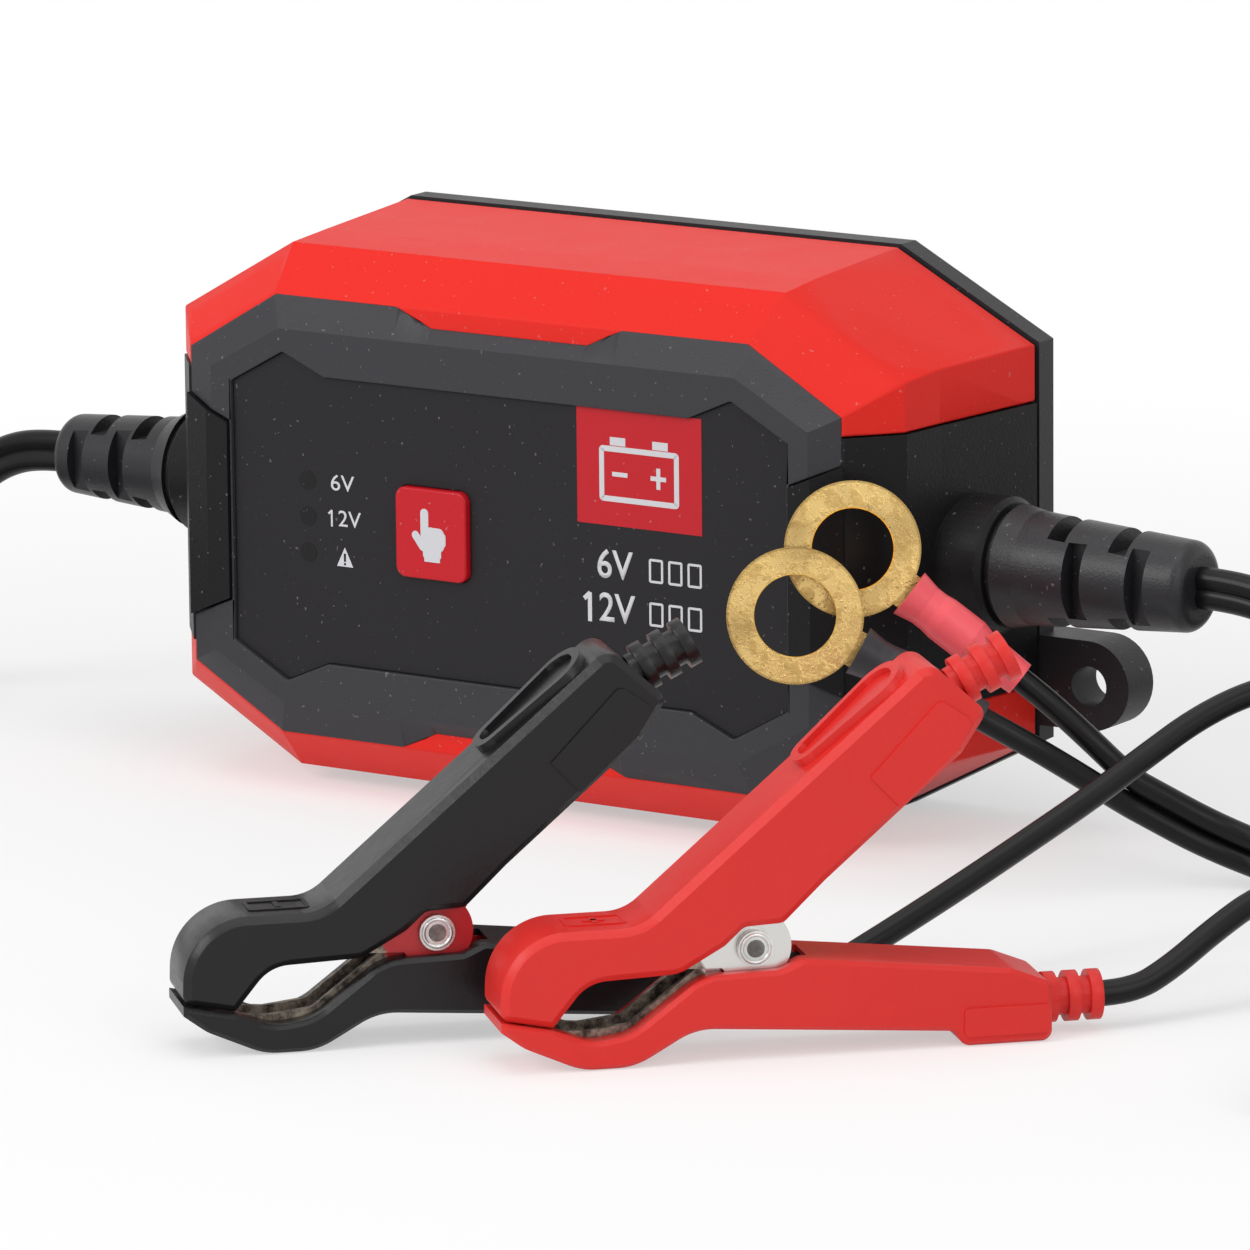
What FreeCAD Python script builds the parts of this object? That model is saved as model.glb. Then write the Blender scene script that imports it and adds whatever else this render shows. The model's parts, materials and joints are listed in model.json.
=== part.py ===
"""Small car battery charger with two sets of battery leads, in millimetres.

The octagonal case stands on its long lower side, with the front panel towards -Y.
X runs along the case, Y from the front panel to the back cover, and Z is up.
"""
import FreeCAD, Part
import math
import os
import re
import Sketcher
from FreeCAD import Placement, Rotation, Vector

doc = FreeCAD.newDocument("battery_charger")
sheet = doc.addObject("Spreadsheet::Sheet", "sizes")
sizes = {
    # Place of the model's origin, measured from the case centre
    "shift_x": -18.319,
    "shift_y": 41.68,
    # Red shell, front to back
    "case_width": 120,
    "case_height": 75.3,
    "shell_depth": 34,
    "rear_cut_wide": 20.9,
    "rear_cut_high": 11.1,
    "shoulder_depth": 14,
    "shoulder_step_wide": 2.3,
    "shoulder_step_high": 1.25,
    "shoulder_cut_wide": 18.9,
    "shoulder_cut_high": 10.2,
    "brow_depth": 6.5,
    "brow_step_wide": 3,
    "brow_step_high": 1.9,
    "brow_cut_wide": 18,
    "brow_cut_high": 10.3,
    "front_step_wide": 8.4,
    "front_step_high": 7.75,
    "front_cut_wide": 14.1,
    "front_cut_high": 8.3,
    "wall": 2,
    "rim_wall": 3,
    # Front bezel
    "bezel_rise": 1.5,
    "bezel_back": 0.3,
    "bezel_band": 4.4,
    "notch_mouth": 17.5,
    "notch_floor": 12.2,
    "notch_drop": 2.4,
    "plug_depth": 2.5,
    "plug_wall": 2,
    "fit_gap": 0.15,
    "part_gap": 0.3,
    "press_gap": 0.05,
    "overcut": 1,
    # Front label
    "label_side_gap": 7.6,
    "label_top_gap": 10.4,
    "label_peak_in": 8.5,
    "label_peak_rise": 2.9,
    "label_foot_in": 15.2,
    "label_side_drop": 1.8,
    "label_thick": 0.4,
    "label_recess": 1,
    # Mode button and its switch
    "button_x": -11.6,
    "button_wide": 11.3,
    "button_high": 12.2,
    "button_round": 1.5,
    "button_edge": 0.35,
    "button_proud": 0.4,
    "button_travel": 0.6,
    "button_flange": 0.9,
    "flange_thick": 0.7,
    "stem_radius": 2,
    "switch_side": 6,
    "switch_high": 3,
    "plunger_radius": 1.6,
    "plunger_depth": 1.5,
    # Indicator lights
    "led_x": -32,
    "led_first_z": 5.2,
    "led_pitch": 4.9,
    "led_radius": 1,
    "led_base_radius": 1.5,
    "led_base_high": 2.2,
    # End plates
    "end_half_high": 18.8,
    "end_proud": 0.3,
    "tab_reach": 7.2,
    "tab_tip_high": 12,
    "tab_root_high": 15.2,
    "tab_rise": 2,
    "tab_seat": 2.6,
    "end_lip": 1,
    "rear_ring": 3,
    # Back cover, seal and mounting ears
    "seal_thick": 0.6,
    "seal_inset": 0.4,
    "seal_wide": 1.3,
    "cover_depth": 6.4,
    "cover_edge": 3.6,
    "cover_taper": 1.7,
    "cover_floor": 2,
    "ear_reach": 7.8,
    "ear_drop": 18.4,
    "ear_radius": 6.05,
    "ear_hole_radius": 2.65,
    "screw_in_x": 15.5,
    "screw_in_z": 8.65,
    "boss_radius": 3.6,
    "boss_depth": 16,
    "screw_radius": 1.4,
    "screw_hole_radius": 1.45,
    "screw_clear_radius": 1.6,
    "screw_head_radius": 2.6,
    "screw_head_thick": 1.8,
    "screw_sink": 2.4,
    "screw_length": 14,
    "slot_reach": 1.6,
    "slot_half": 0.3,
    # Circuit board and its posts
    "board_front": 6,
    "board_thick": 1.6,
    "board_gap_x": 10,
    "board_gap_z": 12.65,
    "board_cut": 9,
    "post_in_x": 10,
    "post_in_z": 5,
    "post_radius": 3,
    "board_screw_radius": 1.2,
    "board_hole_radius": 1.4,
    "board_head_radius": 2.3,
    "board_head_thick": 1.4,
    "board_screw_length": 4.5,
    # Power parts on the board
    "core_x": 26,
    "core_wide": 26,
    "core_high": 24,
    "core_tall": 19,
    "core_limb": 5,
    "winding_low": 1,
    "winding_gap": 0.4,
    "supply_can_x": 2,
    "supply_can_z": -13,
    "supply_can_radius": 6.3,
    "supply_can_tall": 20,
    "output_can_x": -13,
    "output_can_z": 14,
    "output_can_radius": 5,
    "output_can_tall": 16,
    "sink_x": -28,
    "sink_wide": 22,
    "sink_tall": 18,
    "sink_plate": 2,
    "sink_fin": 6,
    "sink_fins": 5,
    "sink_fin_thick": 1.2,
    "can_edge": 0.8,
    "transistor_wide": 10,
    "transistor_tall": 15,
    "transistor_thick": 4.4,
    "transistor_lift": 2,
    "leg_pitch": 2.5,
    "leg_wide": 0.7,
    "leg_thick": 0.6,
    "fuse_x": 2,
    "fuse_z": 16,
    "fuse_length": 18,
    "fuse_radius": 2.6,
    "fuse_lift": 0.8,
    "clip_in": 1,
    "clip_long": 3,
    "choke_x": -13,
    "choke_z": -14,
    "choke_radius": 7,
    "choke_bore": 3.2,
    "choke_high": 6,
    "choke_edge": 1.4,
    "chip_x": 10,
    "chip_z": -10,
    "chip_wide": 10,
    "chip_high": 6.5,
    "chip_thick": 1.5,
    # Strain reliefs in the end plates
    "gland_in": 13.5,
    "gland_set_back": 0.6,
    "gland_boss_radius": 8.9,
    "gland_boss_long": 5.4,
    "gland_boss_bevel": 0.7,
    "gland_bore": 6,
    "collar_radius": 7.6,
    "collar_thick": 1.8,
    "relief_seat": 4.6,
    "relief_groove": 1.1,
    "relief_groove_radius": 7.3,
    "relief_head_radius": 8.1,
    "relief_head_long": 2.8,
    "relief_core_radius": 3.9,
    "mains_relief_length": 33.5,
    "mains_relief_root": 7.5,
    "mains_relief_tip": 5.9,
    "output_relief_length": 27.5,
    "output_relief_root": 6.7,
    "output_relief_tip": 5.4,
    "relief_round": 1.8,
    "relief_slot": 2.6,
    "relief_slot_half": 5,
    "relief_slot_step": 3.2,
    "mains_slot_first": 13.5,
    "mains_slot_pitch": 9,
    "output_slot_first": 11.2,
    "output_slot_pitch": 7.3,
    # Leads
    "mains_wide": 5.6,
    "mains_thick": 3.4,
    "output_wide": 5.8,
    "output_thick": 2.9,
    "core_lead": 3.2,
    "floor_gap": 0.3,
    # Put-away coils
    "coil_gap": 0.6,
    "coil_middle_radius": 29,
    "mains_coil_x": 138.7,
    "mains_coil_y": 67,
    "mains_coil_heading": 35,
    "mains_coil_turns": 8.153,
    "output_coil_x": -139.5,
    "output_coil_turns": 4.5,
    "coil_stub": 6,
    "output_run_out": 24,
    # Mains plug with two round pins
    "plug_length": 36,
    "plug_wide": 35,
    "plug_nose_wide": 26,
    "plug_tail_wide": 12,
    "plug_tail_long": 10,
    "plug_thick": 13.6,
    "plug_gap": 0.15,
    "plug_bevel": 1.2,
    "pin_bevel": 0.6,
    "pin_radius": 2,
    "pin_length": 19,
    "pin_pitch": 18.6,
    "pin_root": 6,
    # Two pole quick connectors
    "link_length": 22,
    "link_wide": 11,
    "link_thick": 7,
    "link_round": 1.2,
    "link_grip": 0.8,
    "link_grip_start": 5,
    "link_grip_long": 8,
    "link_shroud": 7,
    "link_pole": 5,
    "socket_radius": 1.7,
    "contact_radius": 0.9,
    "contact_root": 4,
    "contact_drop": 1,
    # Battery clamps, measured from the pivot
    "clamp_turn": 46,
    "clamp_half": 5.5,
    "red_pivot_x": 91.2,
    "red_pivot_y": -85.2,
    "black_pivot_x": 54.1,
    "black_pivot_y": -98.4,
    "jaw_reach": 31.3,
    "jaw_tip_drop": 7.1,
    "nose_high": 3.5,
    "arm_bend": 14.2,
    "tail_reach": 21.4,
    "tail_high": 34,
    "tail_end_reach": 28.6,
    "tail_end_high": 27.4,
    "grip_reach": 36.5,
    "grip_start": 25.5,
    "grip_top": 4.3,
    "belly_drop": 13.5,
    "belly_start": 15,
    "belly_end": 21.5,
    "mouth_reach": 24.9,
    "mouth_drop": 8.4,
    "mouth_gap": 0.25,
    "mouth_blunt": 1.2,
    "cover_roof": 1.8,
    "cover_end": 2,
    "jaw_half": 3.6,
    "jaw_inner_half": 2.7,
    "jaw_sheet": 0.8,
    "jaw_clear": 0.1,
    "ear_plate": 4.6,
    "rivet_radius": 1.5,
    "rivet_head_radius": 2.2,
    "rivet_head_thick": 0.9,
    "pivot_gap": 0.05,
    "spring_wire": 0.8,
    "spring_pitch": 0.9,
    "spring_turns": 2.278,
    "spring_upper_angle": 50,
    "spring_leg": 11,
    "cover_bevel": 0.9,
    "thumb_slope": 40.7,
    "thumb_reach": 12.84,
    "thumb_high": 26.65,
    "thumb_long": 17,
    "thumb_wide": 9.4,
    "thumb_narrow": 5.4,
    "thumb_rise": 1.1,
    "thumb_sunk": 0.9,
    "thumb_rim": 1.1,
    "thumb_dish": 0.8,
    "panel_proud": 0.3,
    # Ribbed boots on the clamp arms
    "boot_long": 7.1,
    "boot_radius": 3.1,
    "boot_rib": 1.5,
    "boot_ribs": 3,
    "boot_core": 2.3,
    "boot_root": 1,
    "tail_boot_reach": 26.2,
    "tail_boot_high": 30.2,
    "tail_boot_slope": 27,
    "lower_boot_drop": 9.4,
    # Ring terminals and their sleeves
    "ring_radius": 8.8,
    "ring_hole": 5.25,
    "ring_thick": 1.2,
    "neck_depth": 4.6,
    "ring_neck_half": 2.4,
    "barrel_radius": 2.3,
    "barrel_end": 10.6,
    "sleeve_start": 9.2,
    "sleeve_length": 18,
    "sleeve_root": 3.3,
    "sleeve_neck": 2.8,
    "sleeve_belly": 3,
    "sleeve_tip": 2.3,
    "red_ring_in": 4.9,
    "red_ring_y": -3.3,
    "red_ring_z": 5.3,
    "black_ring_in": 7.4,
    "black_ring_y": -13.2,
    "black_ring_z": -1.9,
    "ring_turn": 34.1,
    "ring_lean": 11.5,
    "red_ring_slope": 38.5,
    "black_ring_slope": 29.6,
}

derived = {
    "shoulder_width": "case_width - 2 * shoulder_step_wide",
    "shoulder_height": "case_height - 2 * shoulder_step_high",
    "brow_width": "case_width - 2 * brow_step_wide",
    "brow_height": "case_height - 2 * brow_step_high",
    "front_width": "case_width - 2 * front_step_wide",
    "front_height": "case_height - 2 * front_step_high",
    "label_half_width": "front_width / 2 - label_side_gap",
    "label_high": "front_height / 2 - label_top_gap",
    "label_side_high": "label_high - label_side_drop",
    "label_peak_wide": "label_half_width - label_peak_in",
    "label_peak_high": "label_high + label_peak_rise",
    "label_foot_wide": "label_half_width - label_foot_in",
    "screw_x": "case_width / 2 - screw_in_x",
    "screw_z": "case_height / 2 - screw_in_z",
    "board_wide": "case_width - 2 * board_gap_x",
    "board_high": "case_height - 2 * board_gap_z",
    "board_back": "board_front + board_thick",
    "post_x": "board_wide / 2 - post_in_x",
    "post_z": "board_high / 2 - post_in_z",
    "gland_y": "shell_depth - gland_in",
    "gland_rim": "case_width / 2 - gland_set_back",
    "red_ring_x": "case_width / 2 - red_ring_in",
    "black_ring_x": "case_width / 2 - black_ring_in",
}

for row, (name, value) in enumerate(sizes.items(), 1):
    sheet.set(f"A{row}", name)
    sheet.set(f"B{row}", str(value))
    sheet.setAlias(f"B{row}", name)
doc.recompute()
word = re.compile(r"\b[a-z][a-z0-9_]*\b")


def spelled(rule):
    """Writes a rule out in the names of the sheet's own cells."""
    return word.sub(lambda found: f"({spelled(derived[found[0]])})" if found[0] in derived else found[0],
        rule)


def tied(rule):
    """Turns a rule written with plain size names into a FreeCAD expression."""
    return word.sub(lambda found: "sizes." + found[0] if found[0] in sizes else found[0], spelled(rule))


def number(rule):
    """Works out a rule written with plain size names."""
    return float(sheet.evalExpression(spelled(rule)))


class Circle:
    """A circle of a sketch, with its centre and radius tied to the sheet."""

    def __init__(self, x, y, radius):
        self.x, self.y, self.radius = x, y, radius

    def draw(self, sketch):
        centre = Vector(number(self.x), number(self.y), 0)
        circle = sketch.addGeometry(Part.Circle(centre, Vector(0, 0, 1), number(self.radius)))
        tie_point(sketch, circle, 3, self.x, self.y)
        tie(sketch, Sketcher.Constraint("Radius", circle, number(self.radius)), self.radius)


class Outline:
    """A closed outline of straight sides whose corners may be rounded.

    Each corner is (x, y) or (x, y, radius), written as rules of the sheet's names.
    """

    def __init__(self, *corners):
        self.corners = corners

    def draw(self, sketch):
        count = len(self.corners)
        points = [Vector(number(corner[0]), number(corner[1]), 0) for corner in self.corners]
        arcs, enters, leaves = [], [], []
        for index, corner in enumerate(self.corners):
            before = (points[index] - points[index - 1]).normalize()
            after = (points[(index + 1) % count] - points[index]).normalize()
            if len(corner) == 2:
                arcs.append(None)
                enters.append(points[index])
                leaves.append(points[index])
                continue
            radius = number(corner[2])
            turn = before.getAngle(after)
            left = before.x * after.y - before.y * after.x > 0
            side = 1 if left else -1
            reach = radius * math.tan(turn / 2)
            enter = points[index] - before * reach
            leave = points[index] + after * reach
            centre = enter + Vector(-before.y, before.x, 0) * radius * side
            first, last = (enter, leave) if left else (leave, enter)
            start = math.atan2(first.y - centre.y, first.x - centre.x)
            end = math.atan2(last.y - centre.y, last.x - centre.x)
            ring = Part.Circle(centre, Vector(0, 0, 1), radius)
            arc = sketch.addGeometry(Part.ArcOfCircle(ring, start, end))
            arcs.append((arc, 1, 2) if left else (arc, 2, 1))
            enters.append(enter)
            leaves.append(leave)
        lines = []
        for index in range(count):
            line = Part.LineSegment(leaves[index], enters[(index + 1) % count])
            lines.append(sketch.addGeometry(line))
        for index, corner in enumerate(self.corners):
            line_in, line_out = lines[index - 1], lines[index]
            if arcs[index] is None:
                sketch.addConstraint(Sketcher.Constraint("Coincident", line_in, 2, line_out, 1))
                tie_point(sketch, line_out, 1, corner[0], corner[1])
                continue
            arc, enter_end, leave_end = arcs[index]
            sketch.addConstraint(Sketcher.Constraint("Tangent", line_in, 2, arc, enter_end))
            sketch.addConstraint(Sketcher.Constraint("Tangent", arc, leave_end, line_out, 1))
            tie(sketch, Sketcher.Constraint("Radius", arc, number(corner[2])), corner[2])
            mark = sketch.addGeometry(Part.Point(points[index]), True)
            sketch.addConstraint(Sketcher.Constraint("PointOnObject", mark, 1, line_in))
            sketch.addConstraint(Sketcher.Constraint("PointOnObject", mark, 1, line_out))
            tie_point(sketch, mark, 1, corner[0], corner[1])


def tie(sketch, constraint, rule):
    """Adds a constraint whose value follows a rule of the sheet."""
    index = sketch.addConstraint(constraint)
    sketch.setExpression(f"Constraints[{index}]", tied(rule))


def tie_point(sketch, geometry, point, x, y):
    """Ties one point of a sketch to its two distances from the sketch's origin."""
    tie(sketch, Sketcher.Constraint("DistanceX", -1, 1, geometry, point, number(x)), x)
    tie(sketch, Sketcher.Constraint("DistanceY", -1, 1, geometry, point, number(y)), y)


def rectangle(low_x, low_y, high_x, high_y, radius=None):
    """A rectangle between two corners, with an optional corner radius."""
    corners = [(low_x, low_y), (high_x, low_y), (high_x, high_y), (low_x, high_y)]
    if radius:
        corners = [corner + (radius,) for corner in corners]
    return Outline(*corners)


def octagon(width, height, cut_wide, cut_high, inset="0"):
    """The case's eight sided section, moved inwards by an even distance."""
    slant = f"sqrt(({cut_wide})^2 + ({cut_high})^2)"
    wide = f"(({width}) / 2 - ({inset}))"
    high = f"(({height}) / 2 - ({inset}))"
    short_wide = f"({wide} - ({cut_wide}) + ({inset}) - ({inset}) * ({slant} - ({cut_wide})) / ({cut_high}))"
    short_high = f"({high} - ({cut_high}) + ({inset}) - ({inset}) * ({slant} - ({cut_high})) / ({cut_wide}))"
    return Outline(
        (short_wide, f"-{high}"), (wide, f"-{short_high}"), (wide, short_high), (short_wide, high),
        (f"-{short_wide}", high), (f"-{wide}", short_high), (f"-{wide}", f"-{short_high}"),
        (f"-{short_wide}", f"-{high}"))


def front_section(inset="0"):
    return octagon("front_width", "front_height", "front_cut_wide", "front_cut_high", inset)


def brow_section(inset="0"):
    return octagon("brow_width", "brow_height", "brow_cut_wide", "brow_cut_high", inset)


def shoulder_section(inset="0"):
    return octagon("shoulder_width", "shoulder_height", "shoulder_cut_wide", "shoulder_cut_high", inset)


def rear_section(inset="0"):
    return octagon("case_width", "case_height", "rear_cut_wide", "rear_cut_high", inset)


cuts = []


class Piece:
    """One sub-part: a body with sketches and features, named after its node.

    Every feature runs from its start towards the plane's positive axis.
    """

    def __init__(self, label):
        self.body = doc.addObject("PartDesign::Body", label)
        self.body.Label = label

    def origin(self, role):
        return [item for item in self.body.Origin.OriginFeatures if item.Role == role][0]

    def sketch(self, plane, start, *shapes):
        """A sketch on one of the body's own planes, moved along the plane's axis."""
        sketch = self.body.newObject("Sketcher::SketchObject", self.body.Label + "_sketch")
        sketch.AttachmentSupport = [(self.origin(plane + "_Plane"), "")]
        sketch.MapMode = "FlatFace"
        sketch.setExpression("AttachmentOffset.Base.z", tied(f"-({start})" if plane == "XZ" else start))
        for shape in shapes:
            shape.draw(sketch)
        return sketch

    def feature(self, kind, profile):
        feature = self.body.newObject("PartDesign::" + kind, self.body.Label + "_" + kind.lower())
        feature.Profile = profile
        return feature

    def pad(self, plane, start, length, *shapes):
        pad = self.feature("Pad", self.sketch(plane, start, *shapes))
        pad.setExpression("Length", tied(length))
        pad.Reversed = plane == "XZ"
        return self

    def even_pad(self, plane, half, *shapes):
        """A pad that reaches the same distance to both sides of the plane."""
        pad = self.feature("Pad", self.sketch(plane, "0", *shapes))
        pad.setExpression("Length", tied(f"2 * ({half})"))
        pad.Midplane = True
        return self

    def pocket(self, plane, start, length, *shapes):
        pocket = self.feature("Pocket", self.sketch(plane, start, *shapes))
        pocket.setExpression("Length", tied(length))
        pocket.Reversed = plane != "XZ"
        cuts.append(pocket)
        return self

    def even_pocket(self, plane, half, *shapes):
        pocket = self.feature("Pocket", self.sketch(plane, "0", *shapes))
        pocket.setExpression("Length", tied(f"2 * ({half})"))
        pocket.Midplane = True
        cuts.append(pocket)
        return self

    def loft(self, *sections, cut=False):
        """A straight sided loft through sections on planes across Y, given as (start, outline)."""
        sketches = [self.sketch("XZ", start, shape) for start, shape in sections]
        loft = self.feature("SubtractiveLoft" if cut else "AdditiveLoft", sketches[0])
        loft.Sections = sketches[1:]
        loft.Ruled = True
        if cut:
            cuts.append(loft)
        return self

    def turn(self, plane, axis, *shapes):
        """A solid of revolution about one of the body's own axes."""
        turned = self.feature("Revolution", self.sketch(plane, "0", *shapes))
        turned.ReferenceAxis = (self.origin(axis + "_Axis"), [""])
        turned.Angle = 360
        return self

    def turn_out(self, plane, axis, *shapes):
        groove = self.feature("Groove", self.sketch(plane, "0", *shapes))
        groove.ReferenceAxis = (self.origin(axis + "_Axis"), [""])
        groove.Angle = 360
        cuts.append(groove)
        return self

    def round_edges(self, radius, wanted):
        """Rounds the edges of the latest feature that a test picks."""
        return self.dress("Fillet", "Radius", radius, wanted)

    def bevel_edges(self, size, wanted):
        return self.dress("Chamfer", "Size", size, wanted)

    def slanted_sketch(self, slope, reach, high, lift, *shapes):
        """A sketch square to the XZ plane, turned up by a slope and lifted off a point there."""
        sketch = self.sketch("XY", "0", *shapes)
        sketch.AttachmentOffset = Placement(Vector(0, 0, 0), Rotation(Vector(0, 1, 0), -number(slope)))
        sketch.setExpression("AttachmentOffset.Base.x", tied(f"{reach} - sin({slope} * 1 deg) * ({lift})"))
        sketch.setExpression("AttachmentOffset.Base.z", tied(f"{high} + cos({slope} * 1 deg) * ({lift})"))
        return sketch

    def slanted(self, slope, reach, high, rise, sunk, *shapes):
        """A pad square to a slanted plane, sunk below it by so much and proud of it by the rise."""
        pad = self.feature("Pad", self.slanted_sketch(slope, reach, high, f"-({sunk})", *shapes))
        pad.setExpression("Length", tied(f"{rise} + {sunk}"))
        return self

    def slanted_pocket(self, slope, reach, high, rise, depth, *shapes):
        pocket = self.feature("Pocket", self.slanted_sketch(slope, reach, high, f"{rise} - {depth}",
            *shapes))
        pocket.setExpression("Length", tied(rise))
        pocket.Reversed = True
        cuts.append(pocket)
        return self

    def boot(self, slope, reach, high, length):
        """A ribbed stub along X, turned up by a slope, that starts at a point of the XZ plane."""
        turn = Rotation(Vector(0, 1, 0), -number(slope))
        ribs = round(number("boot_ribs"))
        step = f"(({length}) - boot_rib) / {ribs - 1}"
        spans = [("-boot_root", f"{length} + boot_root - boot_rib / 2", "boot_core")]
        spans += [(f"{index} * {step}", "boot_rib", "boot_radius") for index in range(ribs)]
        for start, long, radius in spans:
            sketch = self.sketch("YZ", "0", Circle("0", "0", radius))
            sketch.setExpression("AttachmentOffset.Base.z", None)
            way = turn.multVec(Vector(1, 0, 0))
            base = Vector(number(reach), 0, number(high)) + way * number(start)
            tilt = Rotation(Vector(1, 0, 0), -number(slope))
            sketch.AttachmentOffset = Placement(Vector(base.y, base.z, base.x), tilt)
            pad = self.feature("Pad", sketch)
            pad.setExpression("Length", tied(long))
        return self

    def dress(self, kind, value, size, wanted):
        doc.recompute()
        base = self.body.Tip
        edges = [f"Edge{index}" for index, edge in enumerate(base.Shape.Edges, 1) if wanted(edge)]
        dressed = self.body.newObject("PartDesign::" + kind, self.body.Label + "_" + kind.lower())
        dressed.Base = (base, edges)
        dressed.setExpression(value, tied(size))
        return self


pieces = []


def place(item, frame):
    """Sets a sub-part into one of the model's frames and lists it for export."""
    base, turn = frames[frame]
    item.Placement = Placement(Vector(0, 0, 0), Rotation(Vector(0, 0, 1), 0))
    if turn:
        item.Placement = Placement(Vector(0, 0, 0), turn())
    for axis, rule in zip("xyz", base):
        item.setExpression("Placement.Base." + axis, tied(rule))
    pieces.append(item)
    return item


def clamp_rotation():
    return Rotation(Vector(0, 0, 1), number("clamp_turn"))


def ring_rotation(slope):
    """A ring terminal faces the viewer, with its tongue sloping down to the right."""
    aim = Rotation(Vector(0, 0, 1), number("ring_turn")) * Rotation(Vector(1, 0, 0), -number("ring_lean"))
    return aim * Rotation(Vector(0, 1, 0), number(slope))


frames = {
    "case": (("shift_x", "shift_y", "case_height / 2 + end_proud"), None),
    "gland": (("shift_x", "shift_y + gland_y", "case_height / 2 + end_proud"), None),
    "red_clamp": (("shift_x + red_pivot_x", "shift_y + red_pivot_y", "belly_drop"), clamp_rotation),
    "black_clamp": (("shift_x + black_pivot_x", "shift_y + black_pivot_y", "belly_drop"), clamp_rotation),
    "red_ring": (
        ("shift_x + red_ring_x", "shift_y + red_ring_y", "case_height / 2 + end_proud + red_ring_z"),
        lambda: ring_rotation("red_ring_slope")),
    "black_ring": (
        ("shift_x + black_ring_x", "shift_y + black_ring_y", "case_height / 2 + end_proud + black_ring_z"),
        lambda: ring_rotation("black_ring_slope")),
}


# Case: red shell, bezel, label, end plates and back cover

def build_red_shell():
    """Open eight sided tube with a stepped brow, a thick front rim and corner bosses."""
    shell = Piece("red_shell")
    shell.loft(
        ("0", front_section()), ("brow_depth", brow_section()),
        ("shoulder_depth", shoulder_section()), ("shell_depth", rear_section()))
    shell.loft(
        ("0", front_section("rim_wall")), ("brow_depth", brow_section("wall")),
        ("shoulder_depth", shoulder_section("wall")), ("shell_depth", rear_section("wall")), cut=True)
    corners = screw_corners("boss_radius")
    shell.pad("XZ", "shell_depth - boss_depth", "boss_depth", *corners)
    shell.pocket("XZ", "shell_depth - screw_length", "screw_length + overcut",
        *screw_corners("screw_hole_radius"))
    end_high = "(end_half_high + fit_gap)"
    for side in ("", "-"):
        inner = f"{side}(front_width / 2 - tab_reach)"
        lip = f"{side}(case_width / 2 - end_lip)"
        outer = f"{side}(case_width / 2 + overcut)"
        shell.pocket("XZ", "-overcut", "shell_depth + overcut - rear_ring",
            rectangle(inner, "-" + end_high, outer, end_high))
        shell.pocket("XZ", "shell_depth - rear_ring", "rear_ring + overcut",
            rectangle(lip, "-" + end_high, outer, end_high))
    place(shell.body, "case")


def screw_corners(radius):
    """Four circles at the case screws."""
    return [Circle(x + "screw_x", z + "screw_z", radius) for x in ("", "-") for z in ("", "-")]


def bezel_outline():
    """The bezel's outline, with a shallow notch in the middle of its long sides."""
    half_high = "front_height / 2"
    floor_high = "(front_height / 2 - notch_drop)"
    side_high = "(front_height / 2 - front_cut_high)"
    short = "(front_width / 2 - front_cut_wide)"
    upper = [
        ("front_width / 2", side_high), (short, half_high), ("notch_mouth", half_high),
        ("notch_floor", floor_high), ("-notch_floor", floor_high), ("-notch_mouth", half_high),
        (f"-{short}", half_high), ("-front_width / 2", side_high)]
    lower = [(x, f"-({z})") for x, z in reversed(upper)]
    return Outline(*upper, *lower)


def bezel_face():
    """The flat face inside the bevelled band, with as many corners as the outline."""
    high = "(front_height / 2 - bezel_band)"
    wide = "(front_width / 2 - bezel_band)"
    side_high = "(front_height / 2 - front_cut_high - bezel_band / 2)"
    short = "(front_width / 2 - front_cut_wide - bezel_band / 3)"
    upper = [
        (wide, side_high), (short, high), ("notch_mouth", high),
        ("notch_floor", high), ("-notch_floor", high), ("-notch_mouth", high),
        (f"-{short}", high), (f"-{wide}", side_high)]
    lower = [(x, f"-({z})") for x, z in reversed(upper)]
    return Outline(*upper, *lower)


def label_outline(grow):
    """The front label, peaked near its four corners."""
    upper = [
        (f"label_half_width + ({grow})", "label_side_high"),
        ("label_peak_wide", f"label_peak_high + ({grow})"),
        ("label_foot_wide", f"label_high + ({grow})"),
        ("-label_foot_wide", f"label_high + ({grow})"),
        ("-label_peak_wide", f"label_peak_high + ({grow})"),
        (f"-(label_half_width + ({grow}))", "label_side_high")]
    lower = [(x, f"-({z})") for x, z in reversed(upper)]
    return Outline(*upper, *lower)


def button_outline(grow):
    half_wide = f"(button_wide / 2 + ({grow}))"
    half_high = f"(button_high / 2 + ({grow}))"
    return rectangle(
        f"button_x - {half_wide}", f"-{half_high}", f"button_x + {half_wide}", half_high,
        f"button_round + ({grow})")


def led_circles(radius):
    return [Circle("led_x", f"led_first_z - {index} * led_pitch", radius) for index in range(3)]


def tab_outline(side, grow):
    """The end plate's tab on the front, narrower at its tip; side is the sign of X."""
    tip = f"{side}(front_width / 2 - tab_reach - ({grow}))"
    root = f"{side}(front_width / 2 + end_proud + ({grow}))"
    tip_high = f"(tab_tip_high + ({grow}))"
    root_high = f"(tab_root_high + ({grow}))"
    return Outline((tip, f"-{tip_high}"), (root, f"-{root_high}"), (root, root_high), (tip, tip_high))


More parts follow.
